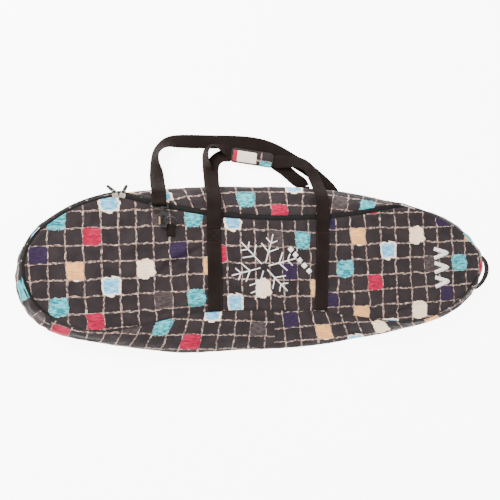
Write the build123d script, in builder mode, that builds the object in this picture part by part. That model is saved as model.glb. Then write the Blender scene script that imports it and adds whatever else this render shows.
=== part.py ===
"""Snowboard bag, lying on its back panel with the front panel up.

Frame: X along the bag (+X towards the narrow end with the haul loop), Y across it
(+Y towards the zipped side and the handles), Z up.  The origin is the middle of the
face that the bag rests on.  All values are millimetres.
"""
import os
from math import asin, atan2, cos, degrees, radians, sin, sqrt

from build123d import *

# ---------------------------------------------------------------- driving dimensions
WEB = 38.0              # width of the carrying webbing
WEB_T = 2.0             # its thickness
LOOP_W = 24.0           # width that a turned webbing loop takes in plan
FOLD_Y = -98.0          # fold line that the front panel opens about

# heights of the layers
BACK_T = 2.5            # outer back fabric with its stiffener
FOAM_T = 6.0
LINING_T = 1.0
BULGE_Z = 34.0          # the gusset stands out furthest here
TAPE_Z = 67.2           # underside of the zipper tape
TAPE_T = 0.8
COIL_T = 2.0
PANEL_Z = TAPE_Z + TAPE_T
PANEL_T = 2.5
PANEL_TOP = PANEL_Z + PANEL_T

# distances from the zipper's centre line (plus is outwards)
WALL = (9.0, 12.0)
TAPE = (2.6, 16.0)
COIL = (1.6, 4.2)
HEM_GAP = 8.5           # fabric edge of the front panel
FOAM_INSET = 20.0
BACK_INSET = 14.0       # back seam, inside the bulge

# zipper line: two true arcs that meet at the parked sliders
SHOULDER_C, SHOULDER_R = (-380.0, -120.0), 327.0
SAG_C, SAG_R = (60.0, 1736.0), 1600.0
PARK_X = -410.0
park_offset = PARK_X - SHOULDER_C[0]
SHOULDER_PARK = degrees(atan2(sqrt(SHOULDER_R**2 - park_offset**2), park_offset))
SAG_PARK = degrees(asin((PARK_X - SAG_C[0]) / SAG_R))
SLIDER_L, SLIDER_W = 15.0, 12.0
SLIDER_GAP = 3.0        # between the two parked sliders, which meet at an angle

# heights above the front panel
LUG_Z = 74.2            # axis that a pull swings about
HUMP_Z = 78.5           # underside of webbing where it crosses the zipper
HOOK_Z = 82.2           # middle of the snap hook

LEFT_LEG_X, RIGHT_LEG_X = -172.0, 133.0
LEFT_SEWN_Y, RIGHT_SEWN_Y = 118.0, 103.0     # where each front leg's stitching ends
SEWN_START_Y = FOLD_Y + 2.0
EDGE_Y = 234.5          # back handle and strap leave the bag here
STRAP_LEFT_X, STRAP_RIGHT_X = -311.0, 205.0
HOOK_X = -303.0
RING_BAR_Y, RING_BAR_Z = 124.5, 74.6
WRAP_C, WRAP_TILT = (-46.0, 313.0), -8.3

os.makedirs("parts", exist_ok=True)


# ---------------------------------------------------------------- outlines
def shoulder_point(angle, radius=SHOULDER_R):
    """Point on the zipper's arc left of the sliders, angle in degrees from +X."""
    a = radians(angle)
    return (SHOULDER_C[0] + radius * cos(a), SHOULDER_C[1] + radius * sin(a))


def sag_point(angle, radius=SAG_R):
    """Point on the zipper's long hollow arc, angle in degrees from straight down."""
    a = radians(angle)
    return (SAG_C[0] + radius * sin(a), SAG_C[1] - radius * cos(a))


def zip_line():
    """Closed centre line of zipper and lower seam, clockwise from the zipper's left end."""
    left_tip = [(-575, FOLD_Y), (-610, -64), (-633, -20), (-641, 30), (-630, 79)]
    # points stand closer together beside the sliders, where the two arcs meet at an angle
    shoulder = [shoulder_point(a) for a in (134, 126, 118, 111)]
    shoulder += [shoulder_point(SHOULDER_PARK + a) for a in (9.5, 6.0, 3.6, 2.0, 0.8)]
    sag = [sag_point(SAG_PARK + a) for a in (0.16, 0.4, 0.75, 1.3, 2.2)]
    sag += [sag_point(a) for a in (-13, -10, -7, -3.5, 0, 3.5, 7, 8.6, 9.6, 10.3)]
    right_tip = [
        (385, 161), (426, 149), (504, 121), (578, 72), (616, 25), (629, -12), (618, -55), (588, -92),
    ]
    lower_seam = [
        (527, -136), (450, -167), (400, -173), (340, -168), (273, -156), (200, -141), (110, -125), (0, -114),
        (-155, -106), (-250, -109), (-345, -125), (-425, -136), (-480, -136), (-535, -120),
    ]
    return Spline(*(left_tip + shoulder + sag + right_tip + lower_seam), periodic=True, mode=Mode.PRIVATE)


def bulge_line():
    """Closed outline of the bag where the gusset stands out furthest."""
    points = [
        (-600, -125), (-640, -88), (-664, -30), (-664, 20), (-642, 88), (-597, 143), (-525, 180), (-440, 206),
        (-330, 221), (-180, 228), (-20, 227), (140, 219), (255, 203), (365, 179), (489, 147), (575, 104),
        (632, 55), (667, -8), (650, -65), (600, -127), (515, -170), (400, -197), (270, -211), (90, -226),
        (-120, -220), (-290, -211), (-434, -181), (-535, -154),
    ]
    return Spline(*points, periodic=True, mode=Mode.PRIVATE)


ZIP_LINE = zip_line()
BULGE_LINE = bulge_line()
SPANS = 12


def ring(curve, distance, chords=False):
    """The closed curve moved outwards by distance, as smooth edges or as many short chords."""
    steps = 360 if chords else 180
    points, directions = [], []
    for i in range(steps + 1):
        place = curve.position_at(i % steps / steps)
        along = curve.tangent_at(i % steps / steps)
        points.append((place.X - along.Y * distance, place.Y + along.X * distance))
        directions.append((along.X, along.Y))
    if chords:
        return Polyline(*points, mode=Mode.PRIVATE).edges()
    edges = []
    span = steps // SPANS
    for i in range(0, steps, span):
        ends = (directions[i], directions[i + span])
        edges.append(Spline(*points[i:i + span + 1], tangents=ends, mode=Mode.PRIVATE))
    return edges


def layer(name, curve, distance, bottom, thickness, hollow=None, edge_y=None):
    """Flat layer of the bag, open inside the hollow distance and cut off at edge_y."""
    outer = ring(curve, distance, chords=hollow is not None)
    inner = [] if hollow is None else ring(curve, hollow, chords=True)
    with BuildPart() as piece:
        with BuildSketch(Plane.XY.offset(bottom)):
            make_face(outer)
            if inner:
                make_face(inner, mode=Mode.SUBTRACT)
        extrude(amount=thickness)
        if edge_y is not None:
            split(bisect_by=Plane((0, edge_y, 0), z_dir=(0, 1, 0)), keep=Keep.TOP)
    piece.part.label = name
    return piece


def finish(builder, name):
    """Label a piece and write it."""
    builder.part.label = name
    export_step(builder.part, f"parts/{name}.step")


def webbing(name, x_left, x_right, y_low, y_high, bottom, thickness=WEB_T):
    """Straight flat webbing along Y; x_left and x_right are its middle at either end."""
    with BuildPart() as strip:
        with BuildSketch(Plane.XY.offset(bottom)):
            with BuildLine():
                Polyline(
                    (x_left - WEB / 2, y_low), (x_left + WEB / 2, y_low),
                    (x_right + WEB / 2, y_high), (x_right - WEB / 2, y_high), close=True,
                )
            make_face()
        extrude(amount=thickness)
    finish(strip, name)


def side_profile(x_middle, width, points, thickness=WEB_T):
    """Webbing that climbs over the bag: its side view in YZ, made width wide in X."""
    upper = [(y, z + thickness) for y, z in reversed(points)]
    with BuildPart() as strip:
        with BuildSketch(Plane.YZ.offset(x_middle - width / 2)):
            with BuildLine():
                Polyline(*points, *upper, close=True)
            make_face()
        extrude(amount=width)
    return strip.part


def flat_run(path, radii, width, bottom, thickness=WEB_T):
    """Webbing lying flat along a route with rounded corners."""
    with BuildPart() as strip:
        with BuildSketch(Plane.XY.offset(bottom)):
            with BuildLine(mode=Mode.PRIVATE) as route:
                FilletPolyline(*path, radius=radii)
            trace(route.line, line_width=width)
        extrude(amount=thickness)
    return strip.part


# ---------------------------------------------------------------- back of the bag
back_legs = {"back_handle_leg_left": (-166.0, -105.0), "back_handle_leg_right": (106.0, -120.0)}
BACK_LEG_T = 1.8
TAIL_START_Y = 120.0

back_outline = ring(BULGE_LINE, -BACK_INSET)
with BuildPart() as back_panel:
    with BuildSketch():
        make_face(back_outline)
    extrude(amount=BACK_T)
    # shallow channels, so the webbing sewn across the back lies flush
    for middle, start in [*back_legs.values(), (STRAP_RIGHT_X, TAIL_START_Y)]:
        with BuildSketch(Plane.XY):
            with Locations((middle, (start + EDGE_Y) / 2)):
                Rectangle(WEB + 0.4, EDGE_Y - start + 0.4)
        extrude(amount=BACK_LEG_T + 0.2, mode=Mode.SUBTRACT)
finish(back_panel, "back_panel")

finish(layer("back_foam", BULGE_LINE, -BACK_INSET - 8, BACK_T, FOAM_T), "back_foam")
finish(layer("back_lining", BULGE_LINE, -BACK_INSET - 8, BACK_T + FOAM_T, LINING_T), "back_lining")

for leg_name, (middle, start) in back_legs.items():
    webbing(leg_name, middle, middle, start, EDGE_Y - 0.5, 0.0, BACK_LEG_T)
webbing("strap_tail_right", STRAP_RIGHT_X, STRAP_RIGHT_X, TAIL_START_Y, EDGE_Y - 3.5, 0.0, BACK_LEG_T)


# ---------------------------------------------------------------- gusset
def gusset_skin(inwards):
    """Closed form of the gusset, moved inwards by a distance: back seam, bulge, zipper."""
    levels = [
        (ring(BULGE_LINE, -BACK_INSET - inwards), BACK_T),
        (ring(BULGE_LINE, -inwards), BULGE_Z),
        (ring(ZIP_LINE, WALL[1] - inwards), TAPE_Z),
    ]
    with BuildPart() as skin:
        for (low, low_z), (high, high_z) in zip(levels, levels[1:]):
            with BuildSketch(Plane.XY.offset(low_z)):
                make_face(low)
            with BuildSketch(Plane.XY.offset(high_z)):
                make_face(high)
            loft(ruled=True)
    return skin.part


with BuildPart() as gusset:
    add(gusset_skin(0.0))
    add(gusset_skin(WALL[1] - WALL[0]), mode=Mode.SUBTRACT)
finish(gusset, "gusset_panel")

hem_outline = ring(ZIP_LINE, WALL[1])
with BuildPart() as hem:
    with BuildSketch(Plane.XY.offset(TAPE_Z)):
        make_face(hem_outline)
    extrude(amount=PANEL_TOP - TAPE_Z)
    split(bisect_by=Plane((0, FOLD_Y - 0.5, 0), z_dir=(0, 1, 0)), keep=Keep.BOTTOM)
finish(hem, "front_panel_hem")

# ---------------------------------------------------------------- zipper
finish(layer("tape", ZIP_LINE, TAPE[1], TAPE_Z, TAPE_T, TAPE[0], FOLD_Y + 0.6), "zip_tape_gusset")
finish(layer("coil", ZIP_LINE, COIL[1], PANEL_Z, COIL_T, COIL[0], FOLD_Y + 0.6), "zip_coil_gusset")

NOTCH_L, NOTCH_W = 2 * SLIDER_L + 10.0, 30.0     # parted length under the parked sliders
park_y = shoulder_point(SHOULDER_PARK)[1]
for half_name, inner, outer, bottom, thickness in (
    ("zip_tape_flap", -TAPE[1], -TAPE[0], TAPE_Z, TAPE_T),
    ("zip_coil_flap", -COIL[1], -COIL[0], PANEL_Z, COIL_T),
):
    half = layer(half_name, ZIP_LINE, outer, bottom, thickness, inner, FOLD_Y + 0.6)
    with BuildPart() as parted:
        add(half.part)
        with BuildSketch(Plane.XY.offset(bottom - 1)):
            with Locations((PARK_X, park_y)):
                Rectangle(NOTCH_L, NOTCH_W)
        extrude(amount=thickness + 2, mode=Mode.SUBTRACT)
    finish(parted, half_name)

# cover tabs over the gusset side of the zipper's two ends: middle and direction
for tab_name, tab_x, tab_y, tab_turn in (
    ("zip_end_tab_left", -589.5, -91.5, -45.0), ("zip_end_tab_right", 596.0, -90.0, 50.0),
):
    with BuildPart() as end_tab:
        with BuildSketch(Plane((tab_x, tab_y, PANEL_Z + COIL_T))):
            SlotOverall(14, 7, rotation=tab_turn)
        extrude(amount=1.2)
        split(bisect_by=Plane((0, FOLD_Y + 0.6, 0), z_dir=(0, 1, 0)), keep=Keep.TOP)
    finish(end_tab, tab_name)


def slider_plane(x, y, turn, height=0.0):
    """Plane at a point of the zipper: local x along it, local y outwards."""
    a = radians(turn)
    return Plane((x, y, height), x_dir=(cos(a), sin(a), 0), z_dir=(0, 0, 1))


PLATE_T, SIDE_T, SLOT_GAP = 1.4, 0.8, 0.3
TOP_PLATE_Z = PANEL_Z + COIL_T + 0.4
LUG_R, LUG_HOLE_R, LUG_L = 2.4, 1.4, 5.0
PULL_RING_L, WIRE = 11.0, 1.7
GRIP_W, GRIP_T = 8.5, 3.4


def slider_body(x, y, turn, head):
    """Zipper slider: two plates, side rails, the wedge at its head and the pull's lug."""
    half_w = SLIDER_W / 2
    with BuildPart() as body:
        for bottom in (TAPE_Z - SLOT_GAP - PLATE_T, TOP_PLATE_Z):
            with BuildSketch(slider_plane(x, y, turn, bottom)):
                RectangleRounded(SLIDER_L, SLIDER_W, 2.5)
            extrude(amount=PLATE_T)
        with BuildSketch(slider_plane(x, y, turn, PANEL_Z + SLOT_GAP)):
            with Locations((0, half_w - SIDE_T / 2), (0, SIDE_T / 2 - half_w)):
                Rectangle(SLIDER_L - 5, SIDE_T)
        extrude(amount=TOP_PLATE_Z - PANEL_Z - SLOT_GAP)
        with BuildSketch(slider_plane(x, y, turn, TAPE_Z - SLOT_GAP)):
            with Locations((head * (SLIDER_L / 2 - 2.5), 0)):
                Rectangle(3.0, 1.2)
        extrude(amount=TOP_PLATE_Z - TAPE_Z + SLOT_GAP)
        # lug: a raised barrel along the zipper, bored for the pull's wire
        base = slider_plane(x, y, turn, LUG_Z)
        side = Plane(base.origin - base.x_dir * LUG_L / 2, x_dir=base.y_dir, z_dir=base.x_dir)
        with BuildSketch(side):
            Circle(LUG_R)
            with Locations((0, -LUG_R / 2 - 0.2)):
                Rectangle(2 * LUG_R, LUG_R + 0.2)
            Circle(LUG_HOLE_R, mode=Mode.SUBTRACT)
        extrude(amount=LUG_L)
    return body


def pull_ring(x, y, turn):
    """Rectangular wire link whose inner bar turns in the slider's lug."""
    inner_l = LUG_L + 1.2
    with BuildPart() as link:
        with BuildSketch(slider_plane(x, y, turn, LUG_Z - WIRE / 2)):
            with Locations((0, PULL_RING_L / 2 - WIRE / 2)):
                Rectangle(inner_l + 2 * WIRE, PULL_RING_L)
                Rectangle(inner_l, PULL_RING_L - 2 * WIRE, mode=Mode.SUBTRACT)
        extrude(amount=WIRE)
    return link


def pull_grip(x, y, turn, length, lean):
    """Moulded grip closed round the link's outer bar, leaning sideways by some degrees."""
    base = slider_plane(x, y, turn, LUG_Z - GRIP_T / 2)
    root = base.origin + base.y_dir * (PULL_RING_L - 1.5 * WIRE)
    a = radians(lean)
    along = base.y_dir * cos(a) + base.x_dir * sin(a)
    grip_plane = Plane(root - along * 3.2, x_dir=along, z_dir=(0, 0, 1))
    with BuildPart() as grip:
        with BuildSketch(grip_plane):
            with Locations((length / 2, 0)):
                SlotOverall(length, GRIP_W)
        extrude(amount=GRIP_T)
        # the link passes through a closed pocket
        pocket = slider_plane(x, y, turn, LUG_Z - WIRE / 2 - 0.1)
        with BuildSketch(pocket):
            with Locations((0, PULL_RING_L / 2 - WIRE / 2)):
                Rectangle(LUG_L + 1.4 + 2 * WIRE, PULL_RING_L + 0.2)
                Rectangle(LUG_L + 1.0, PULL_RING_L - 2 * WIRE - 0.2, mode=Mode.SUBTRACT)
        extrude(amount=WIRE + 0.2, mode=Mode.SUBTRACT)
    return grip


half_step = SLIDER_L / 2 + SLIDER_GAP / 2
left_angle = SHOULDER_PARK + degrees(half_step / SHOULDER_R)
right_angle = SAG_PARK + degrees(half_step / SAG_R)
sliders = {
    "left": (*shoulder_point(left_angle), left_angle - 90, 1, 31.0, -42.0),
    "right": (*sag_point(right_angle), right_angle, -1, 27.0, 12.0),
}
for side_name, (sx, sy, turn, head, grip_l, lean) in sliders.items():
    finish(slider_body(sx, sy, turn, head), f"slider_body_{side_name}")
    finish(pull_ring(sx, sy, turn), f"pull_ring_{side_name}")
    finish(pull_grip(sx, sy, turn, grip_l, lean), f"pull_grip_{side_name}")

# ---------------------------------------------------------------- front panel that opens
finish(layer("panel", ZIP_LINE, -HEM_GAP, PANEL_Z, PANEL_T, None, FOLD_Y + 0.5), "front_panel")
FLAP_FOAM_T = 5.0
flap_foam_z = PANEL_Z - FLAP_FOAM_T
for layer_name, layer_z, layer_t in (
    ("front_foam", flap_foam_z, FLAP_FOAM_T), ("front_lining", flap_foam_z - LINING_T, LINING_T),
):
    finish(layer("inner", ZIP_LINE, -FOAM_INSET, layer_z, layer_t, None, FOLD_Y + 10), layer_name)
webbing("front_handle_leg_left", LEFT_LEG_X - 2, LEFT_LEG_X, SEWN_START_Y, LEFT_SEWN_Y, PANEL_TOP)
webbing("front_handle_leg_right", RIGHT_LEG_X - 13, RIGHT_LEG_X, SEWN_START_Y, RIGHT_SEWN_Y, PANEL_TOP)

# ---------------------------------------------------------------- front handle
FLAT_Z = 6.0            # height of the loop's strands beyond the bag
FLAT_Y = 258.0          # where the legs reach that height
with BuildPart() as front_handle:
    for middle, sewn_y, zip_y in ((LEFT_LEG_X, LEFT_SEWN_Y, 153.0), (RIGHT_LEG_X, RIGHT_SEWN_Y, 138.0)):
        rise = [
            (sewn_y + 1, PANEL_TOP + 0.1), (sewn_y + 6, PANEL_TOP + 0.1), (zip_y - 10, HUMP_Z),
            (zip_y + 38, HUMP_Z), (EDGE_Y + 3, 40.0), (FLAT_Y, FLAT_Z), (FLAT_Y + 8, FLAT_Z),
        ]
        add(side_profile(middle, WEB, rise))
    strand_l, strand_r = (-105.0, 321.6), (13.0, 304.4)
    add(
        flat_run(
            [
                (LEFT_LEG_X + 2, FLAT_Y + 4), (LEFT_LEG_X + 6, 316.0), strand_l, strand_r,
                (70.0, 295.0), (RIGHT_LEG_X - 6, FLAT_Y + 4),
            ],
            [22.0, 20.0, 30.0, 22.0], LOOP_W, FLAT_Z,
        )
    )
finish(front_handle, "front_handle_loop")

# ---------------------------------------------------------------- back handle
BACK_FLAT_Z = 0.3
with BuildPart() as back_handle:
    add(
        flat_run(
            [
                (-166.0, EDGE_Y + 0.5), (-166.0, 288.0), (-112.0, 316.0), (13.0, 297.0), (72.0, 283.0),
                (106.0, 256.0), (106.0, EDGE_Y + 0.5),
            ],
            [24.0, 24.0, 30.0, 22.0, 14.0], LOOP_W, BACK_FLAT_Z,
        )
    )
finish(back_handle, "back_handle_loop")

# ---------------------------------------------------------------- wrap that joins the handles
WRAP_L, WRAP_W, WRAP_T = 118.0, 37.0, 1.3
WRAP_LOW_Z = 3.2
WRAP_HIGH_Z = 9.6


def wrap_plane(height):
    """Plane of the wrap: local x along the strand, local y towards the bag's far side."""
    a = radians(WRAP_TILT)
    return Plane((*WRAP_C, height), x_dir=(cos(a), sin(a), 0), z_dir=(0, 0, 1))


with BuildPart() as wrap_base:
    with BuildSketch(wrap_plane(WRAP_LOW_Z)):
        RectangleRounded(WRAP_L, WRAP_W, 6)
    extrude(amount=WRAP_T)
    with BuildSketch(wrap_plane(WRAP_LOW_Z)):
        with Locations((0, -WRAP_W / 2 + WRAP_T / 2)):
            Rectangle(WRAP_L - 14, WRAP_T)
    extrude(amount=WRAP_HIGH_Z - WRAP_LOW_Z - 0.3)
finish(wrap_base, "wrap_base")

with BuildPart() as wrap_flap:
    with BuildSketch(wrap_plane(WRAP_HIGH_Z)):
        RectangleRounded(WRAP_L, WRAP_W, 6)
    extrude(amount=WRAP_T)
finish(wrap_flap, "wrap_flap")

CLOSURE_W = 4.4
closure_mid = (WRAP_LOW_Z + WRAP_T + WRAP_HIGH_Z) / 2
for strip_name, low, high in (
    ("wrap_hook_strip", WRAP_LOW_Z + WRAP_T, closure_mid - 0.1),
    ("wrap_loop_strip", closure_mid + 0.1, WRAP_HIGH_Z),
):
    with BuildPart() as closure:
        with BuildSketch(wrap_plane(low)):
            with Locations((0, WRAP_W / 2 - CLOSURE_W / 2 - 0.8)):
                Rectangle(WRAP_L - 22, CLOSURE_W)
        extrude(amount=high - low)
    finish(closure, strip_name)

CARD_L, CARD_W, EDGE_STRIP_W = 50.0, 31.0, 12.0
card_top = WRAP_HIGH_Z + WRAP_T
for label_name, middle, length in (
    ("id_card", -18.0, CARD_L), ("id_edge_strip", -18.0 - CARD_L / 2 - EDGE_STRIP_W / 2, EDGE_STRIP_W),
):
    with BuildPart() as label_piece:
        with BuildSketch(wrap_plane(card_top)):
            with Locations((middle, 0)):
                Rectangle(length, CARD_W)
        extrude(amount=0.6)
    finish(label_piece, label_name)

# ---------------------------------------------------------------- snap hook and its ring
STOCK = 4.4             # thickness of the hook and its base ring
HOOK_LOW = HOOK_Z - STOCK / 2
HOOK_END_Y = RING_BAR_Y - 4.5
HOOK_L, HOOK_W, EYE_W = 41.0, 22.0, 14.0
NECK_Y = HOOK_END_Y + HOOK_L
BASE_Y = 170.0          # ring bar that the swivel passes through
SWIVEL_R = 2.2

with BuildPart() as base_ring:
    ring_l, ring_w, ring_t = WEB + 9.0, 16.0, 3.6
    with BuildSketch(Plane((STRAP_LEFT_X, BASE_Y + ring_w / 2 - 2, HOOK_Z - ring_t / 2))):
        RectangleRounded(ring_l, ring_w, 3)
        RectangleRounded(ring_l - 2 * ring_t, ring_w - 2 * ring_t, 0.8, mode=Mode.SUBTRACT)
    extrude(amount=ring_t)
    # boss round the swivel
    with BuildSketch(Plane((HOOK_X, BASE_Y - 3, HOOK_Z), x_dir=(1, 0, 0), z_dir=(0, 1, 0))):
        Circle(4.2)
    extrude(amount=4.6)
    with BuildSketch(Plane((HOOK_X, BASE_Y - 4, HOOK_Z), x_dir=(1, 0, 0), z_dir=(0, 1, 0))):
        Circle(SWIVEL_R + 0.3)
    extrude(amount=8.0, mode=Mode.SUBTRACT)
finish(base_ring, "hook_base_ring")

with BuildPart() as hook:
    with BuildSketch(Plane((HOOK_X, (HOOK_END_Y + NECK_Y) / 2, HOOK_LOW))):
        RectangleRounded(HOOK_W, HOOK_L, 10.5)
        with Locations((0, -2.5)):
            RectangleRounded(EYE_W, HOOK_L - 14.0, 6.5, mode=Mode.SUBTRACT)
        # the gate closes this side
        with Locations((-HOOK_W / 2 + 1, -3.0)):
            Rectangle(8.0, 21.0, mode=Mode.SUBTRACT)
    extrude(amount=STOCK)
    with BuildSketch(Plane((HOOK_X, NECK_Y - 3, HOOK_Z), x_dir=(1, 0, 0), z_dir=(0, 1, 0))):
        Circle(SWIVEL_R)
    extrude(amount=BASE_Y + 1.9 - NECK_Y + 3)
    with BuildSketch(Plane((HOOK_X, BASE_Y + 1.9, HOOK_Z), x_dir=(1, 0, 0), z_dir=(0, 1, 0))):
        Circle(3.4)
    extrude(amount=1.6)
finish(hook, "hook_body")

GATE_W, GATE_L = 3.2, 20.0
gate_x = HOOK_X - HOOK_W / 2 + 2.4
gate_mid_y = (HOOK_END_Y + NECK_Y) / 2 - 3.0
with BuildPart() as gate:
    with BuildSketch(Plane((gate_x, gate_mid_y, HOOK_LOW + 0.7))):
        SlotOverall(GATE_L, GATE_W, rotation=90)
    extrude(amount=STOCK - 1.4)
finish(gate, "hook_gate")

RING_R, RING_SIDE, RING_WIRE_R, RING_CORNER = 15.0, 14.0, 2.0, 3.5
RING_X = HOOK_X + 3.5 + RING_R
lean = radians(45.0)
ring_plane = Plane((RING_X, RING_BAR_Y, RING_BAR_Z), x_dir=(1, 0, 0), z_dir=(0, -sin(lean), cos(lean)))
with BuildPart() as d_ring:
    # the lower side is the straight bar that the tab folds round
    with BuildLine(ring_plane) as d_path:
        Line((RING_CORNER - RING_R, 0), (RING_R - RING_CORNER, 0))
        RadiusArc((RING_R - RING_CORNER, 0), (RING_R, RING_CORNER), -RING_CORNER)
        Line((RING_R, RING_CORNER), (RING_R, RING_SIDE))
        ThreePointArc((RING_R, RING_SIDE), (0, RING_SIDE + RING_R), (-RING_R, RING_SIDE))
        Line((-RING_R, RING_SIDE), (-RING_R, RING_CORNER))
        RadiusArc((-RING_R, RING_CORNER), (RING_CORNER - RING_R, 0), -RING_CORNER)
    with BuildSketch(Plane((RING_X - RING_R + RING_CORNER, RING_BAR_Y, RING_BAR_Z), z_dir=(1, 0, 0))):
        Circle(RING_WIRE_R)
    sweep()
finish(d_ring, "d_ring")

TAB_W, TAB_LOW_Y = 21.0, 94.0
fold_bore, fold_out = RING_WIRE_R + 0.3, 4.0
with BuildPart() as ring_tab:
    with BuildSketch(Plane((RING_X, (TAB_LOW_Y + RING_BAR_Y) / 2, PANEL_TOP))):
        Rectangle(TAB_W, RING_BAR_Y - TAB_LOW_Y)
    extrude(amount=1.6)
    fold_side = Plane((RING_X - TAB_W / 2, RING_BAR_Y, RING_BAR_Z), x_dir=(0, 1, 0), z_dir=(1, 0, 0))
    with BuildSketch(fold_side):
        Circle(fold_out)
    extrude(amount=TAB_W)
    with BuildSketch(fold_side):
        Circle(fold_bore)
    extrude(amount=TAB_W, mode=Mode.SUBTRACT)
finish(ring_tab, "d_ring_tab")

# ---------------------------------------------------------------- shoulder strap
far_bar_y = BASE_Y - 2 + 16.0 - 1.8
with BuildPart() as strap_fold:
    fold_side = Plane((STRAP_LEFT_X - WEB / 2, far_bar_y, HOOK_Z), x_dir=(0, 1, 0), z_dir=(1, 0, 0))
    with BuildSketch(fold_side):
        Circle(4.7)
        Circle(2.9, mode=Mode.SUBTRACT)
    extrude(amount=WEB)
finish(strap_fold, "strap_end_left")

STRAP_START_Y = far_bar_y + 4.7 + 4.0
with BuildPart() as strap:
    climb = [
        (STRAP_START_Y, HOOK_Z - WEB_T), (216.0, HOOK_Z - WEB_T), (240.0, 44.0), (262.0, BACK_FLAT_Z),
        (270.0, BACK_FLAT_Z),
    ]
    add(side_profile(STRAP_LEFT_X, WEB, climb))
    add(
        flat_run(
            [
                (STRAP_LEFT_X, 266.0), (STRAP_LEFT_X + 3, 342.0), (-262.0, 366.0), (-60.0, 365.0),
                (36.0, 350.0), (118.0, 304.0), (STRAP_RIGHT_X - 3, 262.0), (STRAP_RIGHT_X, EDGE_Y + 1),
            ],
            [28.0, 28.0, 60.0, 50.0, 30.0, 18.0], LOOP_W + 8, BACK_FLAT_Z,
        )
    )
finish(strap, "shoulder_strap")

# ---------------------------------------------------------------- haul loop at the narrow end
HAUL_Z, HAUL_H, HAUL_T = 11.0, 20.0, 2.6
haul_top, haul_low = (672.0, 10.0), (643.0, -97.0)
with BuildPart() as haul_loop:
    add(
        flat_run(
            [haul_top, (692.0, -8.0), (697.0, -34.0), (688.0, -62.0), (667.0, -87.0), haul_low],
            [14.0, 24.0, 26.0, 22.0], HAUL_T, HAUL_Z, HAUL_H,
        )
    )
finish(haul_loop, "haul_loop")

# short webbing ends of the haul loop, caught in the gusset's seam and folded to a point at the hinge
POINT_L, POINT_H = 10.5, 2.0
for anchor_name, loop_end, seam_point in (
    ("haul_anchor_upper", haul_top, (654.0, 16.0)), ("haul_anchor_lower", haul_low, (628.0, -91.0)),
):
    span = Vector(*loop_end) - Vector(*seam_point)
    across = Vector(span.Y, -span.X).normalized()
    corner = Vector(*seam_point) - across * HAUL_T / 2
    with BuildPart() as anchor:
        base = (corner.X, corner.Y, HAUL_Z + HAUL_H / 2)
        end_plane = Plane(base, x_dir=(span.X, span.Y, 0), z_dir=(across.X, across.Y, 0))
        with BuildSketch(end_plane):
            with BuildLine():
                half_h, tip = HAUL_H / 2 - 1, span.length - 2.0
                Polyline(
                    (0, -half_h), (tip - POINT_L, -half_h), (tip, -POINT_H / 2),
                    (tip, POINT_H / 2), (tip - POINT_L, half_h), (0, half_h), close=True,
                )
            make_face()
        extrude(amount=HAUL_T)
    finish(anchor, anchor_name)
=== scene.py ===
"""Looks of the snowboard bag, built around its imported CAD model.

Lengths in this script are millimetres and become metres when a mesh is made.
+X runs towards the narrow end, +Y towards the zipped side, +Z out of the front.
"""
from math import asin, atan2, cos, degrees, pi, radians, sin, sqrt

import bpy
import numpy as np
from mathutils import Matrix, Vector
from mathutils.bvhtree import BVHTree
from mathutils.geometry import delaunay_2d_cdt


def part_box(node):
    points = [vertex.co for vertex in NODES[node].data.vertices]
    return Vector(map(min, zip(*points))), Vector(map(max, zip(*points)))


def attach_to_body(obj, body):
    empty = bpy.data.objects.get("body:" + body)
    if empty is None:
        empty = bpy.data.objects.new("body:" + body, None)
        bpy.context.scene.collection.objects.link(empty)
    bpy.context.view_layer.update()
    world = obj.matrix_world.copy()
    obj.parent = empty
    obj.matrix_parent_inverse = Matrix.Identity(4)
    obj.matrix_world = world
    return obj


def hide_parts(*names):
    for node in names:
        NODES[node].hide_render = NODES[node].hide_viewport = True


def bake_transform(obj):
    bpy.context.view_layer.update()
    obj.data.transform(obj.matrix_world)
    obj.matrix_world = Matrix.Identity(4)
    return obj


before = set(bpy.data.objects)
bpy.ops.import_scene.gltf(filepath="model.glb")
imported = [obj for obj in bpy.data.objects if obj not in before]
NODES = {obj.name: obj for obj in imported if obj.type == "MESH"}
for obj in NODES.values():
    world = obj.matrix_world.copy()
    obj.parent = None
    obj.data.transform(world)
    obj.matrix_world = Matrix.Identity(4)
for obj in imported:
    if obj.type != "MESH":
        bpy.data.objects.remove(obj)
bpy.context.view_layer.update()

MM = 0.001


def top_of(node):
    """Highest point of a CAD node, in millimetres."""
    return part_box(node)[1].z / MM


# ---------------------------------------------------------------- driving values
PANEL_TOP = top_of("front_panel")
TAPE_TOP = top_of("zip_tape_gusset")
BULGE_Z = 34.0
FOLD_Y = -98.0
WEB = 38.0
WEB_T = 1.8
CELL = 43.0             # pitch of the printed grid

SHOULDER_C, SHOULDER_R = (-380.0, -120.0), 327.0
SAG_C, SAG_R = (60.0, 1736.0), 1600.0
PARK_X = -410.0
park_offset = PARK_X - SHOULDER_C[0]
SHOULDER_PARK = degrees(atan2(sqrt(SHOULDER_R**2 - park_offset**2), park_offset))
SAG_PARK = degrees(asin((PARK_X - SAG_C[0]) / SAG_R))


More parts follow.
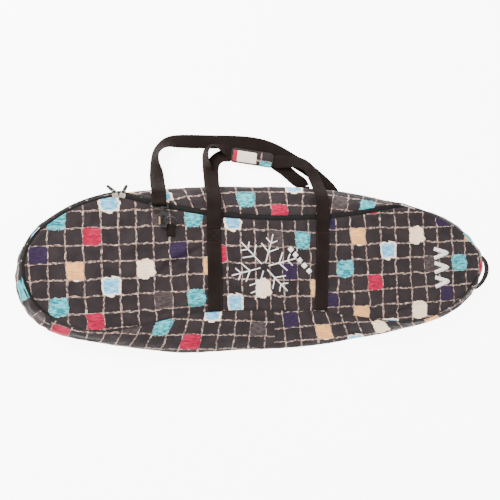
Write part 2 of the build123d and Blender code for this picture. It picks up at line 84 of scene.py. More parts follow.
# ---------------------------------------------------------------- curves
def spline(points, count, closed=False):
    """count points evenly spaced along the cubic spline through the given points."""
    p = np.asarray(points, float)
    if closed:
        p = np.vstack([p, p[:1]])
    step = np.linalg.norm(np.diff(p[:, :3], axis=0), axis=1)
    t = np.concatenate([[0.0], np.cumsum(step)])
    n = len(p)
    slope = np.diff(p, axis=0) / step[:, None]
    a, b = np.zeros((n, n)), np.zeros_like(p)
    for i in range(1, n - 1):
        a[i, i - 1:i + 2] = step[i - 1], 2 * (step[i - 1] + step[i]), step[i]
        b[i] = 6 * (slope[i] - slope[i - 1])
    a[0, 0] = 1
    if closed:
        a[0, -1] = -1
        a[-1, [0, 1, -2]] = 2 * step[0], step[0], step[-1]
        a[-1, -1] = 2 * step[-1]
        b[-1] = 6 * (slope[0] - slope[-1])
    else:
        a[-1, -1] = 1
    bend = np.linalg.solve(a, b)

    def at(s):
        i = np.clip(np.searchsorted(t, s, side="right") - 1, 0, n - 2)
        h, u = step[i][:, None], (s - t[i])[:, None]
        v = h - u
        cubic = (bend[i] * v**3 + bend[i + 1] * u**3) / (6 * h)
        return cubic + (p[i] / h - bend[i] * h / 6) * v + (p[i + 1] / h - bend[i + 1] * h / 6) * u

    fine = np.linspace(0, t[-1], 6000)
    run = np.linalg.norm(np.diff(at(fine)[:, :3], axis=0), axis=1)
    length = np.concatenate([[0.0], np.cumsum(run)])
    goal = np.linspace(0, length[-1], count, endpoint=not closed)
    return at(np.interp(goal, length, fine))


def smooth(x, low=0.0, high=1.0):
    """0 below low, 1 above high, and a smooth step between."""
    t = np.clip((x - low) / (high - low), 0, 1)
    return t * t * (3 - 2 * t)


def unit(v):
    return v / np.maximum(np.linalg.norm(v, axis=-1, keepdims=True), 1e-9)


def outward(curve):
    """Unit normals out of a closed clockwise outline."""
    along = unit(np.roll(curve, -1, axis=0) - np.roll(curve, 1, axis=0))
    return np.stack([-along[:, 1], along[:, 0]], axis=1)


def shoulder_point(angle):
    a = radians(angle)
    return (SHOULDER_C[0] + SHOULDER_R * cos(a), SHOULDER_C[1] + SHOULDER_R * sin(a))


def sag_point(angle):
    a = radians(angle)
    return (SAG_C[0] + SAG_R * sin(a), SAG_C[1] - SAG_R * cos(a))


RING = 1320             # points round an outline
ZIP_POINTS = [(-575, FOLD_Y), (-610, -64), (-633, -20), (-641, 30), (-630, 79)]
ZIP_POINTS += [shoulder_point(a) for a in (134, 126, 118, 111)]
ZIP_POINTS += [shoulder_point(SHOULDER_PARK + a) for a in (9.5, 6.0, 3.6, 2.0, 0.8)]
ZIP_POINTS += [sag_point(SAG_PARK + a) for a in (0.16, 0.4, 0.75, 1.3, 2.2)]
ZIP_POINTS += [sag_point(a) for a in (-13, -10, -7, -3.5, 0, 3.5, 7, 8.6, 9.6, 10.3)]
ZIP_POINTS += [(385, 161), (426, 149), (504, 121), (578, 72), (616, 25), (629, -12), (618, -55)]
ZIP_END = (588, -92)
SEAM_POINTS = [
    ZIP_END, (527, -136), (450, -167), (400, -173), (340, -168), (273, -156), (200, -141),
    (110, -125), (0, -114), (-155, -106), (-250, -109), (-345, -125), (-425, -136), (-480, -136),
    (-535, -120),
]
BULGE_POINTS = [
    (-600, -125), (-640, -88), (-664, -30), (-664, 20), (-642, 88), (-597, 143), (-525, 180),
    (-440, 206), (-330, 221), (-180, 228), (-20, 227), (140, 219), (255, 203), (365, 179),
    (489, 147), (575, 104), (632, 55), (667, -8), (650, -65), (600, -127), (515, -170),
    (400, -197), (270, -211), (90, -226), (-120, -220), (-290, -211), (-434, -181), (-535, -154),
]
zip_line = spline(ZIP_POINTS + SEAM_POINTS, RING, closed=True)
bulge_line = spline(BULGE_POINTS, RING, closed=True)
zip_out, bulge_out = outward(zip_line), outward(bulge_line)
zip_end = int(np.argmin(np.linalg.norm(zip_line - np.array(ZIP_END), axis=1)))
zip_step = float(np.linalg.norm(zip_line[1] - zip_line[0]))

# 1 along the zipper, 0 along the lower seam
place = np.arange(RING) * zip_step
zipped = smooth(place, 0, 30) * (1 - smooth(place, (zip_end * zip_step) - 30, zip_end * zip_step))
# the zipper shows as a wide band along the hollow side and a thin one elsewhere,
# and the hem covers it towards the narrow end
zip_x = zip_line[:, 0]
wide = smooth(zip_x, -440, -330) * (1 - smooth(zip_x, 330, 430)) * (zip_line[:, 1] > 60)
over = smooth(zip_x, 330, 430) * (zip_line[:, 1] > -60)
round_end = smooth(-zip_x, 425, 460) * smooth(zip_line[:, 1], 20, 80)
CLOSED_GAP = 2.8        # from the zipper's centre line to each hem
panel_gap = CLOSED_GAP + 4.0 * wide - 5.6 * over - 0.9 * round_end
gusset_gap = CLOSED_GAP + 4.2 * wide - 1.2 * over - 0.9 * round_end


# ---------------------------------------------------------------- relief of the cloth
def waves(x, y, scale, seed, stretch=1.0):
    """Smooth uneven relief between about -1 and 1, with bumps about scale long."""
    draw = np.random.default_rng(seed)
    total = 0.0
    for _ in range(14):
        angle, phase = draw.uniform(0, pi), draw.uniform(0, 2 * pi)
        pitch = scale * draw.uniform(0.7, 1.7)
        total = total + np.sin(2 * pi * (x * cos(angle) / stretch + y * sin(angle)) / pitch + phase)
    return total / 4.0


def crease(x, y, start, end, width, height, sway=6.0):
    """A soft ridge (height above 0) or valley along a swaying line from start to end."""
    (x0, y0), (x1, y1) = start, end
    length = sqrt((x1 - x0) ** 2 + (y1 - y0) ** 2)
    ex, ey = (x1 - x0) / length, (y1 - y0) / length
    along = ((x - x0) * ex + (y - y0) * ey) / length
    off = (y - y0) * ex - (x - x0) * ey + sway * np.sin(3.3 * along + x0)
    fade = smooth(along, -0.15, 0.2) * (1 - smooth(along, 0.75, 1.15))
    return height * np.exp(-((off / width) ** 2)) * fade


CREASE_DEPTH = 2.3
DEEPEST_CREASE = PANEL_TOP - 4.0
PANEL_CREASES = [
    # start, end, width, height
    ((-318, 8), (-205, 62), 9, -3.2), ((-322, 24), (-215, 82), 13, 2.6),
    ((-300, -96), (-190, -72), 9, 2.6), ((-330, -112), (-196, -88), 7, -3.0),
    ((-560, -40), (-470, -104), 12, 2.4), ((-600, 0), (-545, -70), 8, -2.6),
    ((-250, 104), (-205, 20), 14, 1.8), ((-128, 96), (-62, 30), 14, 2.0),
    ((-140, -30), (-70, -92), 12, -1.8), ((40, 96), (96, 10), 12, 1.9),
    ((-20, 96), (30, 50), 10, -1.6), ((170, -60), (300, -116), 14, 2.2),
    ((190, 110), (290, 70), 13, -1.8), ((330, -148), (470, -120), 9, -2.6),
    ((345, -132), (480, -100), 13, 2.4), ((500, 60), (590, -10), 12, 2.0),
    ((-470, 150), (-400, 110), 13, -1.8), ((-400, 60), (-330, 130), 15, 1.6),
]


def panel_height(x, y, edge):
    """Top of the front panel; edge is the distance inwards from its outline."""
    z = PANEL_TOP + 1.6 * smooth(edge, 0, 60)
    covers = smooth(x, 360, 440) * smooth(y, -60, -20)
    z = z - 2.4 * (1 - smooth(edge, 0, 8)) * (1 - covers) + 1.2 * covers * (1 - smooth(edge, 0, 20))
    inner = smooth(edge, 4, 34)
    z = z + inner * (1.6 * waves(x, y, 130, 3, 1.4) + 0.8 * waves(x, y, 58, 5, 1.3))
    for start, end, width, height in PANEL_CREASES:
        z = z + inner * crease(x, y, start, end, width, height * CREASE_DEPTH)
    return np.maximum(z, DEEPEST_CREASE)


# ---------------------------------------------------------------- meshes
def make_object(name, points, faces, uv=None, material=None):
    """Mesh object from points in millimetres; uv holds one pair for each corner."""
    mesh = bpy.data.meshes.new(name)
    mesh.from_pydata((np.asarray(points) * MM).tolist(), [], [list(f) for f in faces])
    mesh.polygons.foreach_set("use_smooth", [True] * len(mesh.polygons))
    if uv is not None:
        layer = mesh.uv_layers.new(name="UVMap")
        layer.data.foreach_set("uv", np.asarray(uv, np.float32).ravel())
    obj = bpy.data.objects.new(name, mesh)
    bpy.context.scene.collection.objects.link(obj)
    if material is not None:
        mesh.materials.append(material)
    return obj


def corner_uv(faces, point_uv):
    """One pair for each corner, from one pair for each point."""
    point_uv = np.asarray(point_uv)
    return np.concatenate([point_uv[list(f)] for f in faces])


def grid_faces(rows, columns, closed_rows=False, closed_columns=False):
    """Quads of a grid of points numbered row by row."""
    faces = []
    for i in range(rows if closed_rows else rows - 1):
        for j in range(columns if closed_columns else columns - 1):
            a, b = i * columns + j, i * columns + (j + 1) % columns
            c, d = ((i + 1) % rows) * columns + (j + 1) % columns, ((i + 1) % rows) * columns + j
            faces.append((a, b, c, d))
    return faces


def inside(points, outline):
    """True for each point inside the outline."""
    x, y = points[:, 0][:, None], points[:, 1][:, None]
    x0, y0 = outline[:, 0], outline[:, 1]
    x1, y1 = np.roll(x0, -1), np.roll(y0, -1)
    crosses = (y0 > y) != (y1 > y)
    at = x0 + (y - y0) * (x1 - x0) / np.where(y1 == y0, 1e-9, y1 - y0)
    return ((crosses & (x < at)).sum(axis=1) % 2) == 1


def edge_distance(points, outline):
    """Distance from each point to the nearest point of the outline."""
    nearest = np.full(len(points), 1e9)
    for start in range(0, len(outline), 220):
        part = outline[start:start + 220]
        gap = np.linalg.norm(points[:, None, :] - part[None, :, :], axis=2).min(axis=1)
        nearest = np.minimum(nearest, gap)
    return nearest


def fill(outline, pitch):
    """Points and triangles that fill an outline; its own points come first."""
    low, high = outline.min(axis=0), outline.max(axis=0)
    rows = []
    for k, y in enumerate(np.arange(low[1], high[1], pitch * 0.87)):
        x = np.arange(low[0] + (k % 2) * pitch / 2, high[0], pitch)
        rows.append(np.stack([x, np.full_like(x, y)], axis=1))
    grid = np.concatenate(rows)
    grid = grid[inside(grid, outline)]
    out = outward(outline)
    rings = [outline - out * d for d in (pitch * 0.45, pitch * 1.1)]
    grid = grid[edge_distance(grid, outline) > pitch * 1.65]
    points = np.concatenate([outline, *rings, grid])
    count = len(outline)
    made = delaunay_2d_cdt([Vector(p) for p in points], [], [list(range(count))], 1, 1e-6)
    flat = np.array([tuple(v) for v in made[0]])
    faces = [f if len(f) == 3 else f[:3] for f in made[2]]
    up = []
    for a, b, c in faces:
        turn = np.cross(flat[b] - flat[a], flat[c] - flat[a])
        up.append((a, b, c) if turn > 0 else (a, c, b))
    return flat, up, count


def slab(name, flat, faces, count, top, bottom, uv, material):
    """Closed layer between a top and a bottom height over the same filled outline."""
    n = len(flat)
    points = np.concatenate([np.column_stack([flat, top]), np.column_stack([flat, bottom])])
    under = [(c + n, b + n, a + n) for a, b, c in faces]
    sign = np.cross(flat[1] - flat[0], flat[count // 2] - flat[0])
    rim = []
    for i in range(count):
        j = (i + 1) % count
        rim.append((i, j, j + n, i + n) if sign < 0 else (j, i, i + n, j + n))
    all_faces = list(faces) + under + rim
    corners = uv if callable(uv) else (lambda f: corner_uv(f, np.tile(uv, (2, 1))))
    return make_object(name, points, all_faces, corners(all_faces), material)


# ---------------------------------------------------------------- materials
class Surface:
    """A material being built: add() makes a node and links or sets its inputs."""

    def __init__(self, name, **values):
        self.material = bpy.data.materials.new(name)
        self.material.use_nodes = True
        self.tree = self.material.node_tree
        self.shader = self.tree.nodes["Principled BSDF"]
        for key, value in values.items():
            self.set(key.replace("_", " ").title().replace("Ior", "IOR"), value)

    def set(self, socket, value):
        """Link a socket, or set its value, on the shader."""
        self._put(self.shader.inputs[socket], value)

    def _put(self, socket, value):
        if isinstance(value, bpy.types.NodeSocket):
            self.tree.links.new(value, socket)
        else:
            socket.default_value = value

    def add(self, kind, inputs=(), output=0, **settings):
        node = self.tree.nodes.new("ShaderNode" + kind)
        for key, value in settings.items():
            setattr(node, key, value)
        for key, value in dict(inputs).items():
            self._put(node.inputs[key], value)
        return node.outputs[output]

    def calc(self, operation, a, b=0.0, c=0.0):
        return self.add("Math", {0: a, 1: b, 2: c}, operation=operation)

    def step(self, value, low, high, to_low=0.0, to_high=1.0):
        """A smooth step; high may be under low."""
        sockets = {"Value": value, "From Min": low, "From Max": high}
        sockets |= {"To Min": to_low, "To Max": to_high}
        return self.add("MapRange", sockets, interpolation_type="SMOOTHSTEP")

    def noise(self, vector, scale, detail=2.0, seed=0.0, colour=False, roughness=0.5):
        sockets = {"Vector": vector, "W": seed, "Scale": scale, "Detail": detail}
        sockets["Roughness"] = roughness
        return self.add("TexNoise", sockets, 1 if colour else 0, noise_dimensions="4D")

    def mix(self, factor, a, b):
        """Colour mixed from a to b."""
        return self.add("Mix", {0: factor, 6: a, 7: b}, 2, data_type="RGBA")

    def bump(self, height, strength, distance, normal=None):
        sockets = {"Height": height, "Strength": strength, "Distance": distance}
        if normal is not None:
            sockets["Normal"] = normal
        return self.add("Bump", sockets)

    def split(self, vector):
        node = self.tree.nodes.new("ShaderNodeSeparateXYZ")
        self.tree.links.new(vector, node.inputs[0])
        return node.outputs[0], node.outputs[1]

    def uv(self):
        return self.add("UVMap", uv_map="UVMap")

    def place(self):
        """Position on the piece itself, in metres."""
        return self.add("TexCoord", output=3)


def rgb(r, g, b):
    """Linear colour with alpha from an sRGB one of 0 to 255."""
    shares = (r / 255, g / 255, b / 255)
    linear = [c / 12.92 if c <= 0.04045 else ((c + 0.055) / 1.055) ** 2.4 for c in shares]
    return (*linear, 1.0)


# painted patches of the print, which repeats every 8 cells along and 5 up: column, row,
# half size, how ragged the edge is, how coarse that is, how square, colours, rim colour
REPEAT = (8, 5)
CREAM_RIM = rgb(250, 226, 200)
PATCHES = [
    (0, 0, 0.50, 0.07, 5.0, 8, rgb(214, 146, 84), rgb(232, 176, 112), None),
    (4, 0, 0.53, 0.20, 3.2, 5, rgb(240, 206, 170), rgb(250, 228, 204), None),
    (2, 4, 0.56, 0.19, 4.2, 5, rgb(62, 156, 200), rgb(150, 206, 228), CREAM_RIM),
    (7, 3, 0.54, 0.22, 7.5, 6, rgb(8, 110, 122), rgb(92, 190, 196), None),
    (1, 2, 0.51, 0.13, 4.5, 7, rgb(138, 6, 40), rgb(176, 22, 66), None),
    (6, 1, 0.50, 0.05, 5.0, 8, rgb(35, 23, 46), rgb(44, 31, 56), None),
    (5, 3, 0.50, 0.10, 5.0, 8, rgb(52, 43, 44), rgb(74, 64, 64), None),
]


def print_fabric():
    """Dark woven polyester with a brushed grid and painted patches; UV counts grid cells."""
    s = Surface("print_fabric", roughness=0.82, sheen_weight=0.04, sheen_roughness=0.5)
    s.set("Specular IOR Level", 0.18)
    uv = s.uv()

    def shifted(vector, scale, detail, seed, amount):
        """The vector moved about by noise of up to half the amount."""
        cloud = s.noise(uv, scale, detail, seed, colour=True)
        drift = s.add("VectorMath", {0: cloud, 1: (-0.5, -0.5, -0.5)})
        sockets = {0: drift, 1: (amount, amount, 0.0), 2: vector}
        return s.add("VectorMath", sockets, operation="MULTIPLY_ADD")

    base = shifted(uv, 1.3, 1.0, 1.0, 0.26)
    grid = shifted(base, 5.0, 2.0, 2.0, 0.10)
    # ground with faint mottling
    colour = s.mix(s.step(s.noise(uv, 1.1, 3.0, 3.0), 0.3, 0.7), rgb(33, 27, 29), rgb(44, 36, 37))
    # the grid: a dim translucent band with broken, brighter brush strokes on it
    band = stroke = None
    for axis, socket in enumerate(s.split(grid)):
        centred = s.calc("SUBTRACT", s.calc("FRACT", s.calc("ADD", socket, 0.5)), 0.5)
        offset = s.calc("MULTIPLY", centred, CELL)
        wander = s.calc("SUBTRACT", s.noise(uv, 3.0, 2.0, 10.0 + axis), 0.5)
        here = s.step(s.calc("ABSOLUTE", offset), 2.6, 1.5)
        band = here if band is None else s.calc("MAXIMUM", band, here)
        for side in (-1, 1):
            off_line = s.calc("ADD", offset, s.calc("MULTIPLY_ADD", wander, 1.6, side * 1.25))
            thin = s.step(s.calc("ABSOLUTE", off_line), 0.85, 0.2)
            gaps = s.step(s.noise(uv, 4.0, 3.0, 20.0 + axis * 3 + side), 0.44, 0.54)
            line = s.calc("MULTIPLY", thin, gaps)
            stroke = line if stroke is None else s.calc("MAXIMUM", stroke, line)
    band = s.calc("MULTIPLY", band, s.step(s.noise(uv, 6.0, 3.0, 31.0), 0.28, 0.66, 0.30, 0.95))
    colour = s.mix(band, colour, rgb(92, 72, 70))
    brightness = s.step(s.noise(uv, 3.0, 3.0, 33.0), 0.35, 0.65)
    colour = s.mix(stroke, colour, s.mix(brightness, rgb(140, 112, 100), rgb(250, 222, 200)))
    # painted patches, each with a few brush streaks and some with a scribble at their foot
    px, py = s.split(base)
    brushed = s.add("Mapping", {"Vector": uv, "Rotation": (0, 0, 0.7), "Scale": (2.2, 8.5, 1.0)})
    mottle = s.step(s.noise(brushed, 1.6, 3.0, 41.0), 0.38, 0.64)
    for k, (column, row, half, rag, coarse, square, deep, light, rim) in enumerate(PATCHES):
        x = s.calc("WRAP", s.calc("SUBTRACT", px, column + 0.5), REPEAT[0] / 2, -REPEAT[0] / 2)
        y = s.calc("WRAP", s.calc("SUBTRACT", py, row + 0.5), REPEAT[1] / 2, -REPEAT[1] / 2)
        powers = [s.calc("POWER", s.calc("ABSOLUTE", v), float(square)) for v in (x, y)]
        radius = s.calc("POWER", s.calc("ADD", *powers), 1.0 / square)
        uneven = s.calc("MULTIPLY", s.calc("SUBTRACT", s.noise(uv, coarse, 2.0, 50.0 + k), 0.5), rag * 2)
        radius = s.calc("ADD", radius, uneven)
        paint = s.mix(mottle, deep, light)
        mask = s.step(radius, half + 0.012, half - 0.012)
        if rim is not None:
            paint = s.mix(s.step(radius, half - 0.13, half - 0.09), paint, rim)
        if rim is not None or k < 2:
            foot = s.calc("ADD", s.calc("POWER", s.calc("DIVIDE", x, 0.2), 2.0),
                          s.calc("POWER", s.calc("DIVIDE", s.calc("ADD", y, half + 0.02), 0.085), 2.0))
            foot = s.step(s.calc("ADD", foot, s.calc("MULTIPLY", uneven, 9.0)), 1.2, 0.9)
            colour = s.mix(foot, colour, CREAM_RIM)
        colour = s.mix(mask, colour, paint)
    s.set("Base Color", colour)
    # plain weave under the print, and the cloth's own small unevenness
    ux, uy = s.split(uv)
    threads = 2 * pi * CELL / 1.1
    weave = s.calc("MULTIPLY", *[s.calc("SINE", s.calc("MULTIPLY", v, threads)) for v in (ux, uy)])
    fine = s.bump(weave, 0.25, 0.00018)
    s.set("Normal", s.bump(s.noise(uv, 0.8, 4.0, 51.0), 0.7, 0.014, fine))
    return s.material


def webbing_cloth(name, dark, light):
    """Woven webbing; UV is metres along and across the strap."""
    s = Surface(name, roughness=0.85, sheen_weight=0.0)
    s.set("Specular IOR Level", 0.06)
    uv = s.uv()
    along, across = s.split(uv)
    zigzag = s.calc("PINGPONG", across, 0.0045)
    rib = s.calc("SINE", s.calc("MULTIPLY", s.calc("ADD", along, zigzag), 2 * pi / 0.0021))
    column = s.calc("SINE", s.calc("MULTIPLY", across, 2 * pi / 0.003))
    height = s.calc("ADD", rib, s.calc("MULTIPLY", column, 0.5))
    worn = s.noise(uv, 14.0, 2.0, 4.0)
    tone = s.calc("MULTIPLY_ADD", rib, 0.12, s.step(worn, 0.2, 0.9))
    s.set("Base Color", s.mix(tone, dark, light))
    s.set("Normal", s.bump(height, 0.5, 0.00035))
    return s.material


def woven(name, dark, light, thread=0.0012, strength=0.35):
    """Plain woven cloth in one colour, laid by position."""
    s = Surface(name, roughness=0.85, sheen_weight=0.03, sheen_roughness=0.5)
    where = s.place()
    x, y = s.split(where)
    weave = s.calc("MULTIPLY", *[s.calc("SINE", s.calc("MULTIPLY", v, 2 * pi / thread)) for v in (x, y)])
    tone = s.calc("MULTIPLY_ADD", weave, 0.15, s.noise(where, 35.0, 3.0, 2.0))
    s.set("Base Color", s.mix(tone, dark, light))
    s.set("Normal", s.bump(weave, strength, 0.0003))
    return s.material


def hard(name, dark, light, roughness, grain=400.0, strength=0.1, **values):
    """Moulded or metal surface with fine grain, uneven tone and uneven gloss."""
    s = Surface(name, **values)
    where = s.place()
    cloud = s.noise(where, 90.0, 3.0, 1.0)
    s.set("Base Color", s.mix(cloud, dark, light))
    s.set("Roughness", s.step(s.noise(where, 160.0, 3.0, 6.0), 0.2, 0.8, roughness * 0.8, roughness * 1.25))
    s.set("Normal", s.bump(s.noise(where, grain, 2.0, 3.0), strength, 0.0002))
    return s.material


PRINT = print_fabric()
WEBBING = webbing_cloth("black_webbing", rgb(25, 18, 16), rgb(34, 27, 24))
TAPE = woven("zipper_tape", rgb(15, 12, 11), rgb(25, 20, 18), 0.0009, 0.5)
BACKING = woven("back_cloth", rgb(34, 29, 29), rgb(52, 45, 44), 0.0014)
LINING = woven("lining_cloth", rgb(74, 76, 82), rgb(96, 98, 104), 0.0012)
BINDING = woven("binding_tape", rgb(16, 13, 12), rgb(27, 22, 21), 0.001, 0.5)
THREAD = woven("thread", rgb(34, 27, 25), rgb(54, 45, 42), 0.0006)
CLOSURE = woven("hook_and_loop", rgb(20, 19, 19), rgb(46, 44, 43), 0.0016, 1.0)
COIL = hard("zipper_coil", rgb(12, 10, 10), rgb(21, 18, 18), 0.6, specular_ior_level=0.2)
NICKEL = hard("nickel", rgb(176, 166, 150), rgb(222, 214, 198), 0.24, metallic=1.0)
BRASS = hard("brass_gate", rgb(176, 146, 104), rgb(222, 196, 152), 0.3, metallic=1.0)
STEEL = hard("coated_wire", rgb(11, 10, 10), rgb(22, 20, 20), 0.4, 900.0, 0.2)
PLASTIC = hard("hook_plastic", rgb(10, 9, 9), rgb(19, 17, 17), 0.45)
RUBBER = hard("pull_rubber", rgb(10, 9, 8), rgb(18, 16, 15), 0.6, 1200.0, 0.3)
INK = hard("white_ink", rgb(214, 208, 204), rgb(246, 242, 240), 0.6, 1500.0, 0.35)
CARD = hard("cream_card", rgb(224, 204, 190), rgb(240, 224, 212), 0.5)
RED = woven("red_strip", rgb(138, 4, 34), rgb(170, 18, 52), 0.0008)

# ---------------------------------------------------------------- front panel
# the panel is sewn from three pieces whose seams lie under the carrying webbing;
# each has its own lay of the print: a patch's middle, the pitch and how its rows slope
PIECES = {
    "left": ((-519.0, 17.0), (42.2, 42.0), 0.0),
    "middle": ((-197.4, -38.0), (38.6, 43.8), 0.07),
    "right": ((240.0, 79.0), (45.6, 43.4), 0.0),
}
LEG_LINES = (-173.0, 126.0)


def print_uv(piece, x, y):
    """Grid cells of the print at a place on a piece; the patch at (0, 0) is centred there."""
    (x0, y0), (pitch_x, pitch_y), slope = PIECES[piece]
    return np.stack([(x - x0) / pitch_x + 0.5, (y - y0 + slope * (x - x0)) / pitch_y + 0.5], axis=-1)


def panel_uv(points):
    """Corner UVs of the front panel, chosen for each face by the piece it lies in."""
    lays = {piece: print_uv(piece, points[:, 0], points[:, 1]) for piece in PIECES}

    def corners(faces):
        n = len(points)
        rows = []
        for f in faces:
            f = [i % n for i in f]
            face_x = points[f, 0].mean()
            piece = "left" if face_x < LEG_LINES[0] else "middle" if face_x < LEG_LINES[1] else "right"
            rows.append(lays[piece][f])
        return np.concatenate(rows)

    return corners


SETTLE_FRAMES, LOOSENESS, SETTLE_CAP = 24, 0.02, 6.0
START_LIFT, BASE_DROP = 1.2, 0.8


def simulate(flat, faces, heights, held):
    """Lets a slightly larger cloth settle on its own base, held along some points."""
    points = np.column_stack([flat, heights])
    cloth = make_object("settling", points + np.array([0, 0, START_LIFT]), faces)
    base = make_object("settling_base", points - np.array([0, 0, BASE_DROP]), faces)
    group = cloth.vertex_groups.new(name="held")
    for i in np.flatnonzero(held > 0):
        group.add([int(i)], float(held[i]), "REPLACE")
    base.modifiers.new("Collision", "COLLISION")
    base.collision.thickness_outer = 0.0008
    base.collision.cloth_friction = 20.0
    modifier = cloth.modifiers.new("Cloth", "CLOTH")
    settings = modifier.settings
    settings.quality = 6
    settings.mass = 0.35
    settings.tension_stiffness = settings.compression_stiffness = 25.0
    settings.shear_stiffness = 12.0
    settings.bending_stiffness = 0.6
    settings.vertex_group_mass = "held"
    settings.shrink_min = -LOOSENESS
    settings.effector_weights.gravity = 0.35
    modifier.collision_settings.distance_min = 0.0008
    modifier.collision_settings.use_self_collision = False
    modifier.point_cache.frame_start = 1
    modifier.point_cache.frame_end = SETTLE_FRAMES
    scene = bpy.context.scene
    for step in range(1, SETTLE_FRAMES + 1):
        scene.frame_set(step)
    settled = cloth.evaluated_get(bpy.context.evaluated_depsgraph_get())
    co = np.zeros(len(flat) * 3)
    settled.data.vertices.foreach_get("co", co)
    scene.frame_set(1)
    moved = co.reshape(-1, 3) / MM - points
    bpy.data.objects.remove(cloth)
    bpy.data.objects.remove(base)
    moved[:, 2] -= START_LIFT * (held <= 0)
    size = np.linalg.norm(moved, axis=1, keepdims=True)
    return moved * np.minimum(1, SETTLE_CAP / np.maximum(size, 1e-6))


# outline: a folded hem along the zipper, the seam itself along the lower side
panel_outline = zip_line - zip_out * (panel_gap * zipped)[:, None]
flat, faces, count = fill(panel_outline[::2], 6.5)
edge = edge_distance(flat, panel_outline[::2])
heights = panel_height(flat[:, 0], flat[:, 1], edge)
flap_top = np.column_stack([flat, heights])
under_leg = np.zeros(len(flat), bool)
for leg_x in LEG_LINES:
    under_leg |= (np.abs(flat[:, 0] - leg_x) < WEB / 2 - 2) & (flat[:, 1] < 118)
held = np.where((edge < 4) | under_leg, 1.0, 0.0)
flap_top = flap_top + simulate(flat, faces, heights, held)
flap_top[:, 2] = np.maximum(flap_top[:, 2], DEEPEST_CREASE - 0.5)
front_panel = slab(
    "front_panel_skin", flap_top[:, :2], faces, count, flap_top[:, 2], flap_top[:, 2] - 2.3,
    panel_uv(flat), PRINT,
)
surface = BVHTree.FromPolygons([Vector(p) for p in flap_top], [tuple(f) for f in faces])


def drop(x, y, lift=0.0):
    """Point on the front panel below (x, y), raised by lift."""
    hit = surface.ray_cast(Vector((x, y, 200.0)), Vector((0, 0, -1)))
    z = hit[0].z if hit[0] is not None else surface.find_nearest(Vector((x, y, PANEL_TOP)))[0].z
    return (x, y, z + lift)


def attach(obj, slot_name, body, *nodes):
    """The piece's material slot (not used), the body it moves with and the CAD nodes it stands for."""
    if nodes:
        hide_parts(*nodes)
    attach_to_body(obj, body)


def on_flap(obj, crosses_fold=True):
    """The piece belongs to the front panel; if it reaches the fold its transform is baked into its mesh,
    otherwise it moves with the flap.
    """
    if crosses_fold:
        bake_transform(obj)
    else:
        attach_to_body(obj, "flap")


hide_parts("front_panel", "front_panel_hem")
on_flap(front_panel)

# foam and lining inside the front panel, quilted in long channels
pad_outline = (zip_line - zip_out * 20.0)[::4]
pad_flat, pad_faces, pad_count = fill(pad_outline, 9.0)
keep_y = FOLD_Y + 11
pad_flat[:, 1] = np.maximum(pad_flat[:, 1], keep_y + 0.02 * pad_flat[:, 1])
pad_edge = edge_distance(pad_flat, pad_outline)


def quilt(y):
    """Sewn channels 60 mm apart along the bag."""
    return np.abs(np.sin(pi * (y - 20.0) / 60.0)) ** 0.5


flap_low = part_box("front_lining")[0].z / MM
pad_bottom = flap_low + 2.0 - 2.0 * smooth(pad_edge, 0, 12) * quilt(pad_flat[:, 1])
pad_top = np.full(len(pad_flat), flap_low + 2.9)
pad_uv = pad_flat * MM
flap_pad = slab("front_lining_pad", pad_flat, pad_faces, pad_count, pad_top, pad_bottom, pad_uv, LINING)
attach(flap_pad, "lining", "flap", "front_foam", "front_lining")

# ---------------------------------------------------------------- gusset
LOW_ROWS, HIGH_ROWS = 9, 24
FOOT_Z = 1.2            # height of the gusset's lower edge
BACK_INSET = 14.0
STATIONS = RING // 2
zl, zo = zip_line[::2], zip_out[::2]
bl, bo = bulge_line[::2], bulge_out[::2]
gap, is_zip = (gusset_gap * zipped)[::2], zipped[::2]
seam = zl + zo * (gap + 0.4)[:, None]
seam_z = (TAPE_TOP + 0.9) * is_zip + (PANEL_TOP - 2.6) * (1 - is_zip)
back = bl - bo * BACK_INSET
rows = []
for i in range(LOW_ROWS):
    t = i / LOW_ROWS
    swing = sin(t * pi / 2)
    xy = back + (bl - back) * swing
    z = FOOT_Z + (BULGE_Z - FOOT_Z) * (1 - cos(t * pi / 2)) ** 0.8
    rows.append(np.column_stack([xy, np.full(STATIONS, z)]))
run = seam - bl
reach = np.linalg.norm(run, axis=1)
for i in range(HIGH_ROWS):
    t = i / (HIGH_ROWS - 1)
    h00, h10 = 2 * t**3 - 3 * t**2 + 1, t**3 - 2 * t**2 + t
    h01, h11 = 1 - h00, t**3 - t**2
    xy = bl * h00 + seam * h01 + run * (h11 * 0.9) + bo * (h10 * 8.0)
    rise = np.minimum(reach, 44.0) * h10 * 1.05
    z = BULGE_Z * h00 + seam_z * h01 + rise - h11 * 3.0
    rows.append(np.column_stack([xy, z]))
gusset = np.stack(rows)                                   # row, station, xyz
level = np.linspace(0, 1, len(rows))[:, None]
round_it = np.arange(STATIONS)[None, :] * zip_step * 2
# the cloth is slack: long soft folds along the bag and short ones round its ends
slack = smooth(level, 0.12, 0.45) * (1 - smooth(level, 0.9, 1.0))
height_map = 1.6 * waves(round_it, level * 120, 70, 21, 2.2)
height_map = height_map + 0.8 * waves(round_it, level * 120, 34, 22, 1.5)
tip = np.exp(-(((gusset[..., 0] + 640) / 90) ** 2)) + np.exp(-(((gusset[..., 0] - 640) / 90) ** 2))
height_map = height_map + 1.3 * tip * waves(round_it, level * 90, 40, 23, 0.8)
along = np.roll(gusset, -1, axis=1) - np.roll(gusset, 1, axis=1)
upward = np.gradient(gusset, axis=0)
normal = unit(np.cross(upward, along))
if (normal * (gusset - gusset.mean(axis=(0, 1)))).sum() < 0:
    normal = -normal
gusset = gusset + normal * (slack * height_map)[..., None]
rise_length = np.cumsum(np.linalg.norm(np.diff(gusset, axis=0), axis=2), axis=0)
rise_length = np.vstack([np.zeros((1, STATIONS)), rise_length])
from_seam = rise_length[-1][None, :] - rise_length        # distance down from the seam


